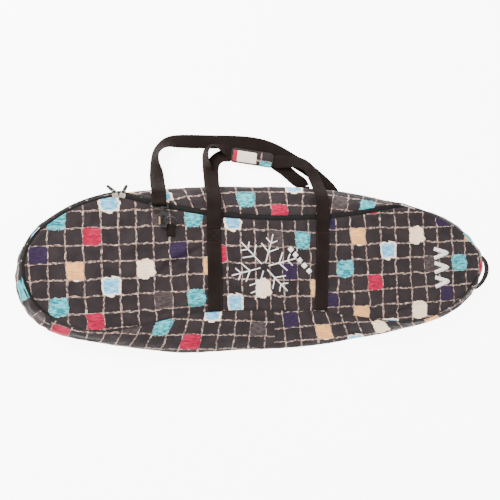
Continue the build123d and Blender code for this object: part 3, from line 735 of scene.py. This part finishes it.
def developed(side, x_fixed):
    """The gusset opened flat beside its seam: side is 1 for the zipped side, -1 for the other."""
    index = np.arange(STATIONS + 1) % STATIONS
    tangent = unit(np.roll(zl, -1, axis=0) - np.roll(zl, 1, axis=0))[index] * side
    angle = np.clip(np.arctan2(tangent[:, 1], tangent[:, 0]), -0.2, 0.2)
    move = np.stack([np.cos(angle), np.sin(angle)], axis=1) * zip_step * 2 * side
    line = np.vstack([np.zeros((1, 2)), np.cumsum(move[:-1], axis=0)])
    own_side = (is_zip > 0.5) == (side > 0)
    fixed = np.argmin(np.abs(zl[:, 0] - x_fixed) + 1e6 * ~own_side)
    line = line - line[fixed] + zl[fixed]
    out = np.stack([-np.sin(angle), np.cos(angle)], axis=1) * side
    return line[None] + out[None] * from_seam[:, index, None]


def laid(flat_place, origin, pitch, turn, patch):
    """Grid cells at places of a flat piece whose painted patch is centred at the origin."""
    d = flat_place - np.array(origin)
    a = radians(turn)
    x, y = d[..., 0] * cos(a) + d[..., 1] * sin(a), d[..., 1] * cos(a) - d[..., 0] * sin(a)
    return np.stack([x / pitch[0] + patch[0] + 0.5, y / pitch[1] + patch[1] + 0.5], axis=-1)


# three lays of the print: the zipped side, and two lengths of the other side
TEAL, PEACH = (7, 3), (0, 0)
above, below = developed(1, -78.0), developed(-1, -60.0)
from_teal = np.clip(above[..., 0] + 78.0, -330, 420)      # the zipped side's rows arch over
above[..., 1] -= 0.0386 * from_teal - 0.000357 * from_teal**2
lays = np.stack([
    laid(above, (-76.0, 186.0), (43.2, 41.0), 0.0, TEAL),
    laid(below, (-308.0, -136.0), (41.0, 42.0), -6.0, TEAL),
    laid(below, (115.0, -186.0), (43.0, 43.0), 0.0, PEACH),
])
piece_of = np.where(is_zip > 0.5, 0, np.where(zl[:, 0] < -14, 1, 2))
station = np.arange(STATIONS)
chosen = [
    np.stack([lays[piece_of, i, station], lays[piece_of, i, station + 1],
              lays[piece_of, i + 1, station + 1], lays[piece_of, i + 1, station]], axis=1)
    for i in range(len(rows) - 1)
]
gusset_faces = grid_faces(len(rows), STATIONS, closed_columns=True)
gusset_uv = np.concatenate(chosen)
shell_skin = make_object("gusset_skin", gusset.reshape(-1, 3), gusset_faces, gusset_uv, PRINT)
thick = shell_skin.modifiers.new("Thickness", "SOLIDIFY")
thick.thickness, thick.offset = 0.9 * MM, -1.0
attach(shell_skin, "print", "shell", "gusset_panel")

# ---------------------------------------------------------------- back panel and its padding
back_outline = (bulge_line - bulge_out * (BACK_INSET - 0.6))[::4]
back_flat, back_faces, back_count = fill(back_outline, 9.0)
back_edge = edge_distance(back_flat, back_outline)
back_low = 1.4 * (1 - smooth(back_edge, 0, 14))
back_low = back_low + 0.25 * (1 + waves(back_flat[:, 0], back_flat[:, 1], 90, 31))
back_skin = slab(
    "back_panel_skin", back_flat, back_faces, back_count, np.full(len(back_flat), 2.6), back_low,
    back_flat * MM, BACKING,
)
attach(back_skin, "back_fabric", "shell", "back_panel")

inner_outline = (bulge_line - bulge_out * (BACK_INSET + 8))[::4]
inner_flat, inner_faces, inner_count = fill(inner_outline, 9.0)
inner_edge = edge_distance(inner_flat, inner_outline)
inner_top = 5.6 + 3.8 * smooth(inner_edge, 0, 14) * quilt(inner_flat[:, 1])
back_pad = slab(
    "back_lining_pad", inner_flat, inner_faces, inner_count, inner_top, np.full(len(inner_flat), 2.8),
    inner_flat * MM, LINING,
)
attach(back_pad, "lining", "shell", "back_foam", "back_lining")


# ---------------------------------------------------------------- strips along a path
def sweep(name, centre, across, profile, material, closed=False):
    """Closed strip with a profile of (across, up) points swept along a path."""
    centre, across = np.asarray(centre, float), np.asarray(across, float)
    if closed:
        tangent = np.roll(centre, -1, axis=0) - np.roll(centre, 1, axis=0)
    else:
        tangent = np.gradient(centre, axis=0)
    tangent = unit(tangent)
    across = unit(across - tangent * (across * tangent).sum(axis=1, keepdims=True))
    up = np.cross(across, tangent)
    profile = np.asarray(profile, float)
    if profile.ndim == 2:
        profile = np.broadcast_to(profile, (len(centre), *profile.shape))
    points = centre[:, None, :] + across[:, None, :] * profile[..., :1]
    points = points + up[:, None, :] * profile[..., 1:]
    n, m = points.shape[:2]
    quads = grid_faces(n, m, closed_rows=closed, closed_columns=True)
    run = np.concatenate([[0.0], np.cumsum(np.linalg.norm(np.diff(centre, axis=0), axis=1))])
    uv = np.stack([np.broadcast_to(run[:, None], (n, m)), profile[..., 0]], axis=-1).reshape(-1, 2) * MM
    faces = [tuple(q) for q in quads]
    if not closed:
        faces += [tuple(range(m - 1, -1, -1)), tuple(range((n - 1) * m, n * m))]
    return make_object(name, points.reshape(-1, 3), faces, corner_uv(faces, uv), material)


def band_profile(width, thickness, columns=9):
    """Flat section with rounded edges."""
    half, body = width / 2, np.linspace(-1, 1, columns)
    upper = [(c * (half - 0.5), thickness / 2 * (1 - 0.25 * c**8)) for c in body]
    lower = [(c * (half - 0.5), -thickness / 2 * (1 - 0.25 * c**8)) for c in body[::-1]]
    return upper + [(half, 0.0)] + lower + [(-half, 0.0)]


def strap(name, stations, width=WEB, thickness=WEB_T, spacing=5.0, material=WEBBING):
    """Webbing through stations of (x, y, z, and the direction across it)."""
    stations = np.asarray(stations, float)
    length = np.linalg.norm(np.diff(stations[:, :3], axis=0), axis=1).sum()
    path = spline(stations, max(8, int(length / spacing)))
    return sweep(name, path[:, :3], path[:, 3:6], band_profile(width, thickness), material)


def stitches(name, lines, material=THREAD, length=3.4, pitch=5.0, radius=0.34):
    """Thread dashes along lines of (x, y, z) points; each dash is a small closed bead."""
    points, faces = [], []
    for line in lines:
        line = np.asarray(line, float)
        run = np.concatenate([[0.0], np.cumsum(np.linalg.norm(np.diff(line, axis=0), axis=1))])
        for start in np.arange(pitch / 2, run[-1] - length, pitch):
            a = np.array([np.interp(start, run, line[:, k]) for k in range(3)])
            b = np.array([np.interp(start + length, run, line[:, k]) for k in range(3)])
            d = unit(b - a)
            side = unit(np.cross(d, (0, 0, 1)) if abs(d[2]) < 0.9 else np.cross(d, (1, 0, 0)))
            up = np.cross(side, d)
            base = len(points)
            points.append(a - up * 0.3)
            for share in (0.25, 0.75):
                mid = a + (b - a) * share
                for k in range(5):
                    turn = 2 * pi * k / 5
                    points.append(mid + (side * cos(turn) + up * sin(turn)) * radius)
            points.append(b - up * 0.3)
            for k in range(5):
                k1 = (k + 1) % 5
                faces.append((base, base + 1 + k1, base + 1 + k))
                faces.append((base + 1 + k, base + 1 + k1, base + 6 + k1, base + 6 + k))
                faces.append((base + 11, base + 6 + k, base + 6 + k1))
    return make_object(name, points, faces, None, material)


# ---------------------------------------------------------------- zipper
zip_run = np.arange(2, zip_end - 1)


def zip_tape(name, near, far, body, node):
    """Tape beside the zipper's centre line, between two distances outwards."""
    offset = (near + far) / 2
    low, high = TAPE_TOP - 0.7, TAPE_TOP
    centre = zip_line[zip_run] + zip_out[zip_run] * offset[zip_run][:, None]
    centre = np.column_stack([centre, np.full(len(centre), (low + high) / 2)])
    across = np.column_stack([zip_out[zip_run], np.zeros(len(zip_run))])
    half, rise = np.abs(far - near)[zip_run] / 2, (high - low) / 2
    shape = np.array([(-1, 1), (0, 1.05), (1, 1), (1, -1), (0, -1), (-1, -1)], float)
    profile = shape[None] * np.stack([half, np.full(len(half), rise)], axis=1)[:, None, :]
    attach(sweep(name, centre, across, profile, TAPE), "zip_tape", body, node)


def coil_row(name, side, body, node):
    """One half of the coil: a ridged cord whose turns mesh with the other half's."""
    pitch = 2.6
    stations = int(zip_end * zip_step / (pitch / 4))
    t = np.linspace(3, zip_end - 3, stations)
    whole = np.arange(RING)
    centre = np.column_stack([np.interp(t, whole, zip_line[:, k]) for k in (0, 1)])
    out = unit(np.column_stack([np.interp(t, whole, zip_out[:, k]) for k in (0, 1)]))
    phase = 2 * pi * (t * zip_step / pitch + (0.5 if side > 0 else 0.0))
    tooth = 0.5 + 0.5 * np.cos(phase)
    inner = 0.35 - 0.75 * tooth
    outer = np.full(len(t), 3.0)
    height = 0.9 + 0.32 * tooth
    loop = np.array([(0, 0.5), (0.3, 1), (0.75, 1), (1, 0.35), (1, -1), (0, -1)], float)
    profile = np.stack([
        side * (inner[:, None] + (outer - inner)[:, None] * loop[:, 0]),
        height[:, None] * loop[:, 1],
    ], axis=-1)
    if side < 0:
        profile = profile[:, ::-1]
    centre = np.column_stack([centre, np.full(len(centre), TAPE_TOP + 1.0)])
    across = np.column_stack([out, np.zeros(len(out))])
    attach(sweep(name, centre, across, profile, COIL), "zip_coil", body, node)


zip_tape("tape_gusset_side", np.full(RING, 0.4), gusset_gap + 7, "shell", "zip_tape_gusset")
zip_tape("tape_flap_side", -panel_gap - 6, np.full(RING, -0.4), "flap", "zip_tape_flap")
coil_row("coil_gusset_side", 1, "shell", "zip_coil_gusset")
coil_row("coil_flap_side", -1, "flap", "zip_coil_flap")

# stitching along the front panel's hem, and the piping along the lower seam
hem_line = panel_outline - zip_out * 3.2
hem_stitch = [drop(x, y, 0.15) for x, y in hem_line[6:zip_end - 6]]
on_flap(stitches("hem_stitches", [hem_stitch]))
piping_run = np.concatenate([np.arange(zip_end - 4, RING), np.arange(0, 5)])
piping_xy = zip_line[piping_run]
piping = np.column_stack([piping_xy, np.full(len(piping_xy), PANEL_TOP - 1.6)])
tube = [(1.3 * cos(2 * pi * k / 8), 1.3 * sin(2 * pi * k / 8)) for k in range(8)]
piping_across = np.column_stack([zip_out[piping_run], np.zeros(len(piping_run))])
attach(sweep("lower_seam_piping", piping, piping_across, tube, BINDING), "webbing", "shell")

# ---------------------------------------------------------------- carrying webbing
FLAT = (1.0, 0.0, 0.0)
legs = {
    "front_handle_leg_left": ((-175.5, -104.0), (-172.0, 112.0)),
    "front_handle_leg_right": ((119.5, -122.0), (133.0, 97.0)),
}
STITCH_IN = WEB / 2 - 3.0       # from a strap's middle to the stitches along its edge
for leg_name, ((x0, y0), (x1, y1)) in legs.items():
    places = [(x0 + (x1 - x0) * t, y0 + (y1 - y0) * t) for t in np.linspace(0, 1, 60)]
    centre = np.array([drop(x, y, 1.3) for x, y in places])
    centre[:, 2] = np.convolve(np.pad(centre[:, 2], 3, mode="edge"), np.ones(7) / 7, mode="valid") + 0.4
    across = np.tile(FLAT, (len(centre), 1))
    leg = sweep(leg_name + "_webbing", centre, across, band_profile(WEB, WEB_T), WEBBING)
    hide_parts(leg_name)
    on_flap(leg)
    seams = [centre + np.array([side * STITCH_IN, 0, WEB_T / 2 + 0.15]) for side in (-1, 1)]
    mid, y_end, top = centre[-1]
    top = top + WEB_T / 2 + 0.15
    box = [(mid + side * STITCH_IN, y_end - d, top) for side, d in ((-1, 3), (1, 3), (1, 36), (-1, 36))]
    seams += [np.array([box[i], box[j]]) for i, j in ((0, 1), (2, 3), (0, 2), (1, 3))]
    on_flap(stitches(leg_name + "_stitches", seams))

front_path = [
    (-172.0, 112.0, 72.6, 1, 0, 0), (-172, 119, 72.8, 1, 0, 0), (-171.5, 128, 75, 1, 0, 0),
    (-171, 142, 79.3, 1, 0, 0), (-170, 166, 80, 1, 0, 0), (-168.5, 192, 77, 1, 0, 0),
    (-168, 214, 62, 1, 0.02, 0.02), (-167, 236, 41, 1, 0.03, 0.06), (-165.5, 258, 25, 1, 0, 0.12),
    (-163.5, 280, 17, 0.98, -0.1, 0.3), (-157, 299, 14.5, 0.86, -0.42, 0.42),
    (-143, 313, 12.5, 0.58, -0.7, 0.42), (-124, 320, 9.5, 0.24, -0.93, 0.22),
    (-100, 320.8, 7.2, -0.14, -0.99, 0), (-60, 315.1, 7, -0.14, -0.99, 0), (-10, 307.7, 7, -0.14, -0.99, 0),
    (18, 304.5, 7.4, -0.12, -0.99, 0.05), (48, 304, 9, -0.03, -0.97, 0.2),
    (78, 303, 11.5, -0.05, -0.92, 0.34),
    (102, 296, 15, -0.35, -0.84, 0.36), (119, 281, 20, -0.7, -0.62, 0.3),
    (127.5, 262, 27, -0.93, -0.3, 0.16),
    (131, 240, 40, -1, -0.05, 0.05), (132.3, 215, 61, -1, 0, 0), (133, 190, 77, -1, 0, 0),
    (133, 160, 80, -1, 0, 0), (133, 128, 79.3, -1, 0, 0), (133, 112, 74.6, -1, 0, 0),
    (133, 104, 72.8, -1, 0, 0), (133, 97, 72.6, -1, 0, 0),
]


def settle_ends(path, drop_ends):
    """Rest the ends of a strap's route on the front panel."""
    path = [list(p) for p in path]
    for i in drop_ends:
        path[i][2] = drop(path[i][0], path[i][1], 1.7)[2]
    return path


GRIP_FROM, GRIP_TO, GRIP_W = -100.0, 10.0, 29.0


def handle(name, path):
    """Webbing gathered to a smaller width where the wrap grips it."""
    stations = np.asarray(path, float)
    length = np.linalg.norm(np.diff(stations[:, :3], axis=0), axis=1).sum()
    line = spline(stations, int(length / 4.0))
    x = line[:, 0]
    tight = smooth(x, GRIP_FROM - 18, GRIP_FROM) * (1 - smooth(x, GRIP_TO, GRIP_TO + 18))
    tight = tight * (line[:, 1] > 285)
    scale = 1 - (1 - GRIP_W / WEB) * tight
    base = np.array(band_profile(WEB, WEB_T))
    thickness = np.broadcast_to(base[:, 1], (len(line), len(base)))
    profile = np.stack([base[None, :, 0] * scale[:, None], thickness], axis=-1)
    return sweep(name, line[:, :3], line[:, 3:6], profile, WEBBING)


front_handle = handle("front_handle_webbing", settle_ends(front_path, (0, 1, -2, -1)))
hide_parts("front_handle_loop")
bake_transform(front_handle)

back_path = [
    (-166, 232, 1.4, 1, 0, 0), (-166, 250, 1.6, 1, 0, 0.05), (-169, 268, 6, 0.9, 0, 0.35),
    (-176, 288, 15, 0.55, 0, 0.84), (-180, 310, 18.4, 0.36, 0, 0.93),
    (-178, 330, 18.6, 0.3, -0.12, 0.94), (-166, 345, 18, 0.22, -0.3, 0.92),
    (-149, 347, 15.5, 0.12, -0.55, 0.82), (-131, 341, 11.5, 0.1, -0.85, 0.5),
    (-112, 334, 5.6, -0.05, -1, 0.16), (-98, 329, 2.4, -0.14, -0.99, 0), (-60, 320, 1.6, -0.14, -0.99, 0),
    (-10, 309, 1.6, -0.2, -0.98, 0), (16, 302, 1.8, -0.32, -0.95, 0), (40, 289, 2.4, -0.58, -0.81, 0.04),
    (66, 268, 2.6, -0.66, -0.75, 0.05), (88, 250, 2.2, -0.75, -0.66, 0), (101, 240, 1.6, -0.95, -0.3, 0),
    (106, 230, 1.4, -1, 0, 0),
]
attach(handle("back_handle_webbing", back_path), "webbing", "back_handle", "back_handle_loop")

for node, x, y_low, y_high in (
    ("back_handle_leg_left", -166, -104, 233), ("back_handle_leg_right", 106, -119, 233),
):
    route = [(x, y, 1.0, 1, 0, 0) for y in np.linspace(y_low, y_high, 9)]
    attach(strap(node + "_webbing", route, spacing=12), "webbing", "shell", node)

tail = strap("strap_tail_right_webbing", [
    (205, 121, 1.0, 1, 0, 0), (205, 150, 1.0, 1, 0, 0), (204, 176, 1.0, 0.96, 0.2, 0),
    (199, 198, 1.0, 0.84, 0.5, 0), (190, 214, 1.0, 0.75, 0.66, 0), (183, 221, 1.1, 0.7, 0.71, 0),
], spacing=6)
attach(tail, "webbing", "shell", "strap_tail_right")

# ---------------------------------------------------------------- shoulder strap
BAR_Y, BAR_Z, BEND = 182.2, 82.2, 3.9
strap_x = -311.0
ROUND_A_BAR = np.linspace(0.1, pi - 0.1, 6)
strap_path = [(strap_x, y, z, 1, 0, 0) for y, z in ((212, 78.6), (198, 78.8), (BAR_Y + 4, BAR_Z - 3.4))]
strap_path += [(strap_x, BAR_Y - BEND * sin(a), BAR_Z - BEND * cos(a), 1, 0, 0) for a in ROUND_A_BAR]
strap_path += [
    (strap_x, BAR_Y + 4, BAR_Z + 3.2, 1, 0, 0), (strap_x, 198, 82.0, 1, 0, 0), (strap_x, 212, 81.0, 1, 0, 0),
    (strap_x - 1, 228, 68, 1, 0, 0), (strap_x - 2, 246, 44, 1, 0, 0.05),
    (strap_x - 3, 264, 26, 0.95, 0, 0.3), (strap_x - 5, 284, 18, 0.78, 0, 0.62),
    (strap_x - 6, 306, 18.6, 0.55, 0, 0.83), (strap_x - 1, 328, 18.4, 0.45, -0.25, 0.86),
    (-297, 345, 16.6, 0.36, -0.55, 0.75), (-278, 355, 12, 0.15, -0.85, 0.5),
    (-254, 359, 6.5, 0.03, -0.97, 0.2), (-220, 360, 2.6, 0, -1, 0), (-156, 360, 1.8, 0, -1, 0),
    (-90, 359.6, 1.8, 0, -1, 0), (-40, 356, 1.8, -0.1, -0.99, 0),
    (0, 347, 1.8, -0.26, -0.96, 0), (40, 330, 1.8, -0.45, -0.89, 0), (76, 309, 2.2, -0.54, -0.84, 0),
    (112, 288, 2.6, -0.58, -0.81, 0), (146, 263, 2.8, -0.66, -0.75, 0), (172, 240, 2.8, -0.72, -0.69, 0),
    (190, 221, 2.8, -0.76, -0.65, 0), (199, 208, 2.8, -0.84, -0.54, 0),
]
shoulder_strap = strap("shoulder_strap_webbing", strap_path, spacing=3.0)
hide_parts("shoulder_strap", "strap_end_left")
left, right = strap_x - STITCH_IN, strap_x + STITCH_IN
fold_rows = [[(x, 203, 82.9), (x, 190, 83.9)] for x in (left, right)]
fold_rows += [[(left, y, z), (right, y, z)] for y, z in ((190.5, 83.9), (203, 82.9))]
fold_stitch = stitches("strap_fold_stitches", fold_rows, pitch=4.6)
for piece in (shoulder_strap, fold_stitch):
    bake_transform(piece)

# ---------------------------------------------------------------- D-ring tab
tab_x, ring_y, ring_z = -284.5, 124.5, 74.6
TAB_W = 21.0
tab_route = [drop(tab_x, 96, 1.0), drop(tab_x, 108, 1.0), (tab_x, 118, 72.4)]
tab_route += [(tab_x, ring_y + 3.2 * sin(a), ring_z - 3.2 * cos(a)) for a in ROUND_A_BAR]
tab_route += [(tab_x, 117, 76.2), drop(tab_x, 108, 2.8), drop(tab_x, 97, 2.8)]
tab = strap("ring_tab_webbing", [(*point, 1, 0, 0) for point in tab_route], TAB_W, 1.5, 2.5)
attach(tab, "webbing", "flap", "d_ring_tab")

# ---------------------------------------------------------------- haul loop
HAUL_W = 20.0
haul_path = [
    (650, 16, 21, 0, 0, 1), (661, 13.5, 21, 0, 0, 1), (672, 9, 21, 0, 0, 1), (684, 0, 21, 0, 0.02, 1),
    (693, -14, 21, 0, 0, 1), (697, -32, 21, 0, 0, 1), (694, -50, 21, 0, 0, 1), (684, -68, 21, 0, 0, 1),
    (669, -84, 21, 0, 0, 1), (655, -93, 21, 0, 0, 1), (643, -97, 21, 0, 0, 1), (633, -95, 21, 0, 0, 1),
    (624, -90, 21, 0, 0, 1),
]
haul = strap("haul_loop_webbing", haul_path, HAUL_W, 2.2, 4.0)
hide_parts("haul_loop", "haul_anchor_upper", "haul_anchor_lower")
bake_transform(haul)

# ---------------------------------------------------------------- wrap round the handles
WRAP_C, WRAP_TILT, WRAP_L, WRAP_W = (-46.0, 313.0), radians(-8.3), 118.0, 37.0
wrap_dir = np.array([cos(WRAP_TILT), sin(WRAP_TILT)])
wrap_up = np.array([-sin(WRAP_TILT), cos(WRAP_TILT)])


def wrap_point(l, w):
    """Place in the bag's frame of a point of the wrap: along it, and across it."""
    return np.array(WRAP_C) + np.outer(l, wrap_dir) + np.outer(w, wrap_up)


def rounded(length, width, radius, step=2.0):
    """Outline of a rounded rectangle about the origin, clockwise."""
    points = []
    for cx, cy, start in ((-1, 1, 180), (1, 1, 90), (1, -1, 0), (-1, -1, -90)):
        for a in np.linspace(start, start - 90, 6):
            x = cx * (length / 2 - radius) + radius * cos(radians(a))
            points.append((x, cy * (width / 2 - radius) + radius * sin(radians(a))))
    closed = np.array(points + points[:1])
    run = np.concatenate([[0.0], np.cumsum(np.linalg.norm(np.diff(closed, axis=0), axis=1))])
    t = np.linspace(0, run[-1], int(run[-1] / step), endpoint=False)
    return np.column_stack([np.interp(t, run, closed[:, k]) for k in (0, 1)])


def cover_height(l, w):
    """Top of the wrap's cover: crowned over the webbing, lower at its edges."""
    crown = 12.2 - 2.1 * (np.abs(w) / (WRAP_W / 2)) ** 2.4
    return crown - 0.8 * (np.abs(l) / (WRAP_L / 2)) ** 6 + 0.35 * waves(l, w, 34, 61)


def wrap_piece(name, outline, heights, thickness, node, slot_name, material, lay):
    """Soft plate that follows the cover's crown."""
    flat, faces, count = fill(outline, 3.0)
    top = heights(flat[:, 0], flat[:, 1])
    placed = wrap_point(flat[:, 0], flat[:, 1])
    piece = slab(name, placed, faces, count, top, top - thickness, lay(flat), material)
    attach(piece, slot_name, "wrap_cover", node)
    return piece


cover_outline = rounded(WRAP_L + 2, WRAP_W + 3.4, 9) + np.array([0.0, 1.7])


def cover_lay(flat):
    """The print runs across the cover, with a painted patch by the card."""
    return np.stack([(flat[:, 0] - 30) / CELL + 7.1, (flat[:, 1] + 44) / CELL + 3.1], axis=-1)


cover = wrap_piece(
    "wrap_cover_pad", cover_outline, cover_height, 1.8, "wrap_flap", "print", PRINT, cover_lay,
)
edge_points = wrap_point(cover_outline[:, 0], cover_outline[:, 1])
edge_path = np.column_stack([edge_points, cover_height(cover_outline[:, 0], cover_outline[:, 1]) - 0.9])
edge_across = np.column_stack([outward(edge_points), np.zeros(len(edge_points))])
edge_tube = [(1.9 * cos(2 * pi * k / 10) - 0.8, 1.5 * sin(2 * pi * k / 10)) for k in range(10)]
binding = sweep("wrap_cover_binding", edge_path, edge_across, edge_tube, BINDING, closed=True)
attach(binding, "webbing", "wrap_cover")
CARD_X = -18.0


def card_outline(middle, length, width, radius):
    return rounded(length, width, radius, 1.5) + np.array([middle, 0.0])


wrap_piece(
    "card_plate", card_outline(CARD_X + 2, 56, 31.5, 2.5), lambda l, w: cover_height(l, w) + 0.75, 0.7,
    "id_card", "card", CARD, lambda flat: flat * MM,
)
wrap_piece(
    "card_red_strip", card_outline(CARD_X - 32, 11.5, 31.5, 1.2), lambda l, w: cover_height(l, w) + 0.7, 0.65,
    "id_edge_strip", "card_edge", RED, lambda flat: flat * MM,
)
# the base goes under the front handle and up its near side
lengthways = np.linspace(-WRAP_L / 2 + 1, WRAP_L / 2 - 1, 40)
side_path = [(17.6, 4.4), (8, 3.9), (-8, 3.8), (-15.5, 4.0), (-18.2, 5.6), (-18.7, 8.0), (-18.2, 9.6)]
across_path = spline([(w, z, 0) for w, z in side_path], 18)[:, :2]
tangent = unit(np.gradient(across_path, axis=0))
inner = across_path + np.column_stack([-tangent[:, 1], tangent[:, 0]]) * -1.2
section = np.vstack([across_path, inner[::-1]])
base_points = []
for l in lengthways:
    xy = wrap_point(np.full(len(section), l), section[:, 0])
    base_points.append(np.column_stack([xy, section[:, 1]]))
m = len(section)
base_faces = [tuple(q) for q in grid_faces(len(lengthways), m, closed_columns=True)]
base_faces += [tuple(range(m - 1, -1, -1)), tuple(range((len(lengthways) - 1) * m, len(lengthways) * m))]
base_points = np.concatenate(base_points)
base_uv = corner_uv(base_faces, base_points[:, :2] / CELL)
wrap_base = make_object("wrap_base_pad", base_points, base_faces, base_uv, PRINT)
attach(wrap_base, "print", "front_handle", "wrap_base")


# ---------------------------------------------------------------- graphics in white ink
def ink_lines(lines, width, name):
    """White lines printed on the front panel, as thin raised ink."""
    for k, line in enumerate(lines):
        line = np.asarray(line, float)
        dense = []
        for a, b in zip(line[:-1], line[1:]):
            steps = max(2, int(np.linalg.norm(b - a) / 3))
            dense += [a + (b - a) * t for t in np.linspace(0, 1, steps, endpoint=False)]
        dense.append(line[-1])
        centre = np.array([drop(x, y, 0.28) for x, y in dense])
        tangent = unit(np.gradient(centre, axis=0))
        across = np.cross(tangent, (0, 0, 1.0))
        columns = max(3, int(width / 3))
        cross_x = np.linspace(-width / 2, width / 2, columns)
        profile = [(c, 0.12) for c in cross_x] + [(c, -0.35) for c in cross_x[::-1]]
        piece = sweep(f"{name}_{k}", centre, across, profile, INK)
        # every point follows the cloth below it
        for v in piece.data.vertices:
            upper = v.index % len(profile) < columns
            v.co.z = drop(v.co.x / MM, v.co.y / MM, 0.42 if upper else -0.2)[2] * MM
        attach(piece, "print", "flap")


def flake(x, y, radius):
    """Lines of a plain six-armed snow crystal."""
    lines = []
    for k in range(6):
        a = radians(60 * k + 12)
        arm = np.array([cos(a), sin(a)])
        centre = np.array([x, y])
        lines.append([centre + arm * radius * 0.12, centre + arm * radius])
        for share, size in ((0.45, 0.34), (0.72, 0.22)):
            root = centre + arm * radius * share
            for turn in (-55, 55):
                b = a + radians(turn)
                lines.append([root, root + np.array([cos(b), sin(b)]) * radius * size])
    return lines


ink_lines(flake(-38.0, 6.0, 92.0), 3.2, "snow_crystal")
bar_a, bar_dir = np.array([46.0, 40.0]), np.array([0.64, -0.77])
bars = [[bar_a + bar_dir * s, bar_a + bar_dir * (s + 13)] for s in (-20, 0, 20, 40, 60)]
ink_lines(bars, 13.0, "plain_bar")
for k, y in enumerate((22.0, -20.0, -62.0)):
    ink_lines([[(478, y + 14), (520, y), (478, y - 14)]], 11.0, f"end_mark_{k}")


# ---------------------------------------------------------------- hardware
def dress(node, material, width=0.35, segments=3):
    """CAD node that stays: its material, with rounded edges."""
    obj = NODES[node]
    obj.data.materials.clear()
    obj.data.materials.append(material)
    bevel = obj.modifiers.new("Rounded", "BEVEL")
    bevel.width, bevel.segments = width * MM, segments
    bevel.limit_method, bevel.angle_limit = "ANGLE", radians(35)
    bevel.harden_normals = True
    obj.data.polygons.foreach_set("use_smooth", [True] * len(obj.data.polygons))


for side in ("left", "right"):
    dress(f"slider_body_{side}", NICKEL, 0.3)
    dress(f"pull_ring_{side}", NICKEL, 0.55)
    dress(f"zip_end_tab_{side}", BINDING, 0.4)
dress("hook_body", PLASTIC, 1.4, 4)
dress("hook_base_ring", STEEL, 1.1, 4)
dress("hook_gate", BRASS, 0.7)
dress("d_ring", STEEL, 0.2)
dress("wrap_hook_strip", CLOSURE, 0.2)
dress("wrap_loop_strip", CLOSURE, 0.2)


def pull_grip(side, length, lean):
    """Moulded grip: tapered, ribbed, closed round the link, with a light ring at its root."""
    low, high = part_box(f"pull_ring_{side}")
    root_z = (low.z + high.z) / 2 / MM
    if side == "left":
        turn = SHOULDER_PARK + degrees(9 / SHOULDER_R) - 90
        origin = shoulder_point(turn + 90)
    else:
        turn = SAG_PARK + degrees(9 / SAG_R)
        origin = sag_point(turn)
    a = radians(turn)
    x_dir, y_dir = np.array([cos(a), sin(a)]), np.array([-sin(a), cos(a)])
    b = radians(lean)
    along = y_dir * cos(b) + x_dir * sin(b)
    start = np.array(origin) + y_dir * (11.0 - 1.5 * 1.7) - along * 2.2
    t = np.linspace(0, 1, 46)
    centre = start + np.outer(t * (length - 4), along)
    curl = 1.6 * np.sin(t * pi)
    centre = np.column_stack([centre, root_z + curl * 0.4])
    side_dir = np.column_stack([np.tile([-along[1], along[0]], (len(t), 1)), np.zeros(len(t))])
    half = (4.9 - 1.1 * t) * np.sqrt(np.clip(1 - (2 * np.abs(t - 0.5)) ** 10, 0.02, 1))
    ribs = 1 + 0.10 * np.sin(2 * pi * t * 9) * smooth(t, 0.35, 0.45) * (1 - smooth(t, 0.85, 0.92))
    ring = np.array([(cos(2 * pi * k / 14), sin(2 * pi * k / 14)) for k in range(14)])
    scale = np.stack([half * ribs, 1.9 * half / 4.9 * ribs + 0.35], axis=1)
    grip = sweep(f"pull_grip_{side}_moulded", centre, side_dir, ring[None] * scale[:, None, :], RUBBER)
    attach(grip, "pull_rubber", f"pull_{side}", f"pull_grip_{side}")
    collar_t = slice(11, 14)
    collar_profile = ring[None] * (scale[collar_t] + 0.25)[:, None, :]
    collar = sweep(f"pull_collar_{side}", centre[collar_t], side_dir[collar_t], collar_profile, NICKEL)
    attach(collar, "nickel", f"pull_{side}")


pull_grip("left", 31.0, -42.0)
pull_grip("right", 27.0, 12.0)

# ---------------------------------------------------------------- stage
floor_size, floor_z = 60.0, -0.0006
bpy.ops.mesh.primitive_plane_add(size=floor_size, location=(0, 0, floor_z))
floor = bpy.context.object
floor.name = "floor"
floor_surface = Surface("floor_white", base_color=(0.96, 0.96, 0.96, 1), roughness=0.9)
floor_surface.set("Emission Color", (1, 1, 1, 1))
floor_surface.set("Emission Strength", 7.0)
floor.data.materials.append(floor_surface.material)

world = bpy.data.worlds.new("studio")
bpy.context.scene.world = world
world.use_nodes = True
world.node_tree.nodes["Background"].inputs[0].default_value = (1.0, 0.99, 0.98, 1)
world.node_tree.nodes["Background"].inputs[1].default_value = 1.5


def area_light(name, place, size, power):
    light = bpy.data.lights.new(name, "AREA")
    light.shape, light.size, light.energy = "DISK", size, power
    obj = bpy.data.objects.new(name, light)
    obj.location = place
    obj.rotation_mode = "QUATERNION"
    obj.rotation_quaternion = (Vector((0, 0, 0.05)) - Vector(place)).to_track_quat("-Z", "Y")
    bpy.context.scene.collection.objects.link(obj)


area_light("key", (-1.5, 1.7, 1.7), 0.9, 125)
area_light("fill", (1.6, -1.2, 2.6), 1.8, 30)

CAMERA_AT, CAMERA_AIM = Vector((-0.330, 0.053, 1.255)), Vector((-0.076, 0.053, 0.072))
ROLL = radians(2.2)
camera = bpy.data.objects.new("camera", bpy.data.cameras.new("camera"))
bpy.context.scene.collection.objects.link(camera)
forward = (CAMERA_AIM - CAMERA_AT).normalized()
right = forward.cross(Vector((0, 1, 0))).normalized()
up = right.cross(forward)
rolled_right = right * cos(ROLL) - up * sin(ROLL)
rolled_up = right * sin(ROLL) + up * cos(ROLL)
camera.matrix_world = Matrix.Translation(CAMERA_AT) @ Matrix(
    (rolled_right, rolled_up, -forward)
).transposed().to_4x4()
camera.data.sensor_width, camera.data.lens = 36.0, 32.4
camera.data.clip_start, camera.data.clip_end = 0.05, 50
bpy.context.scene.camera = camera
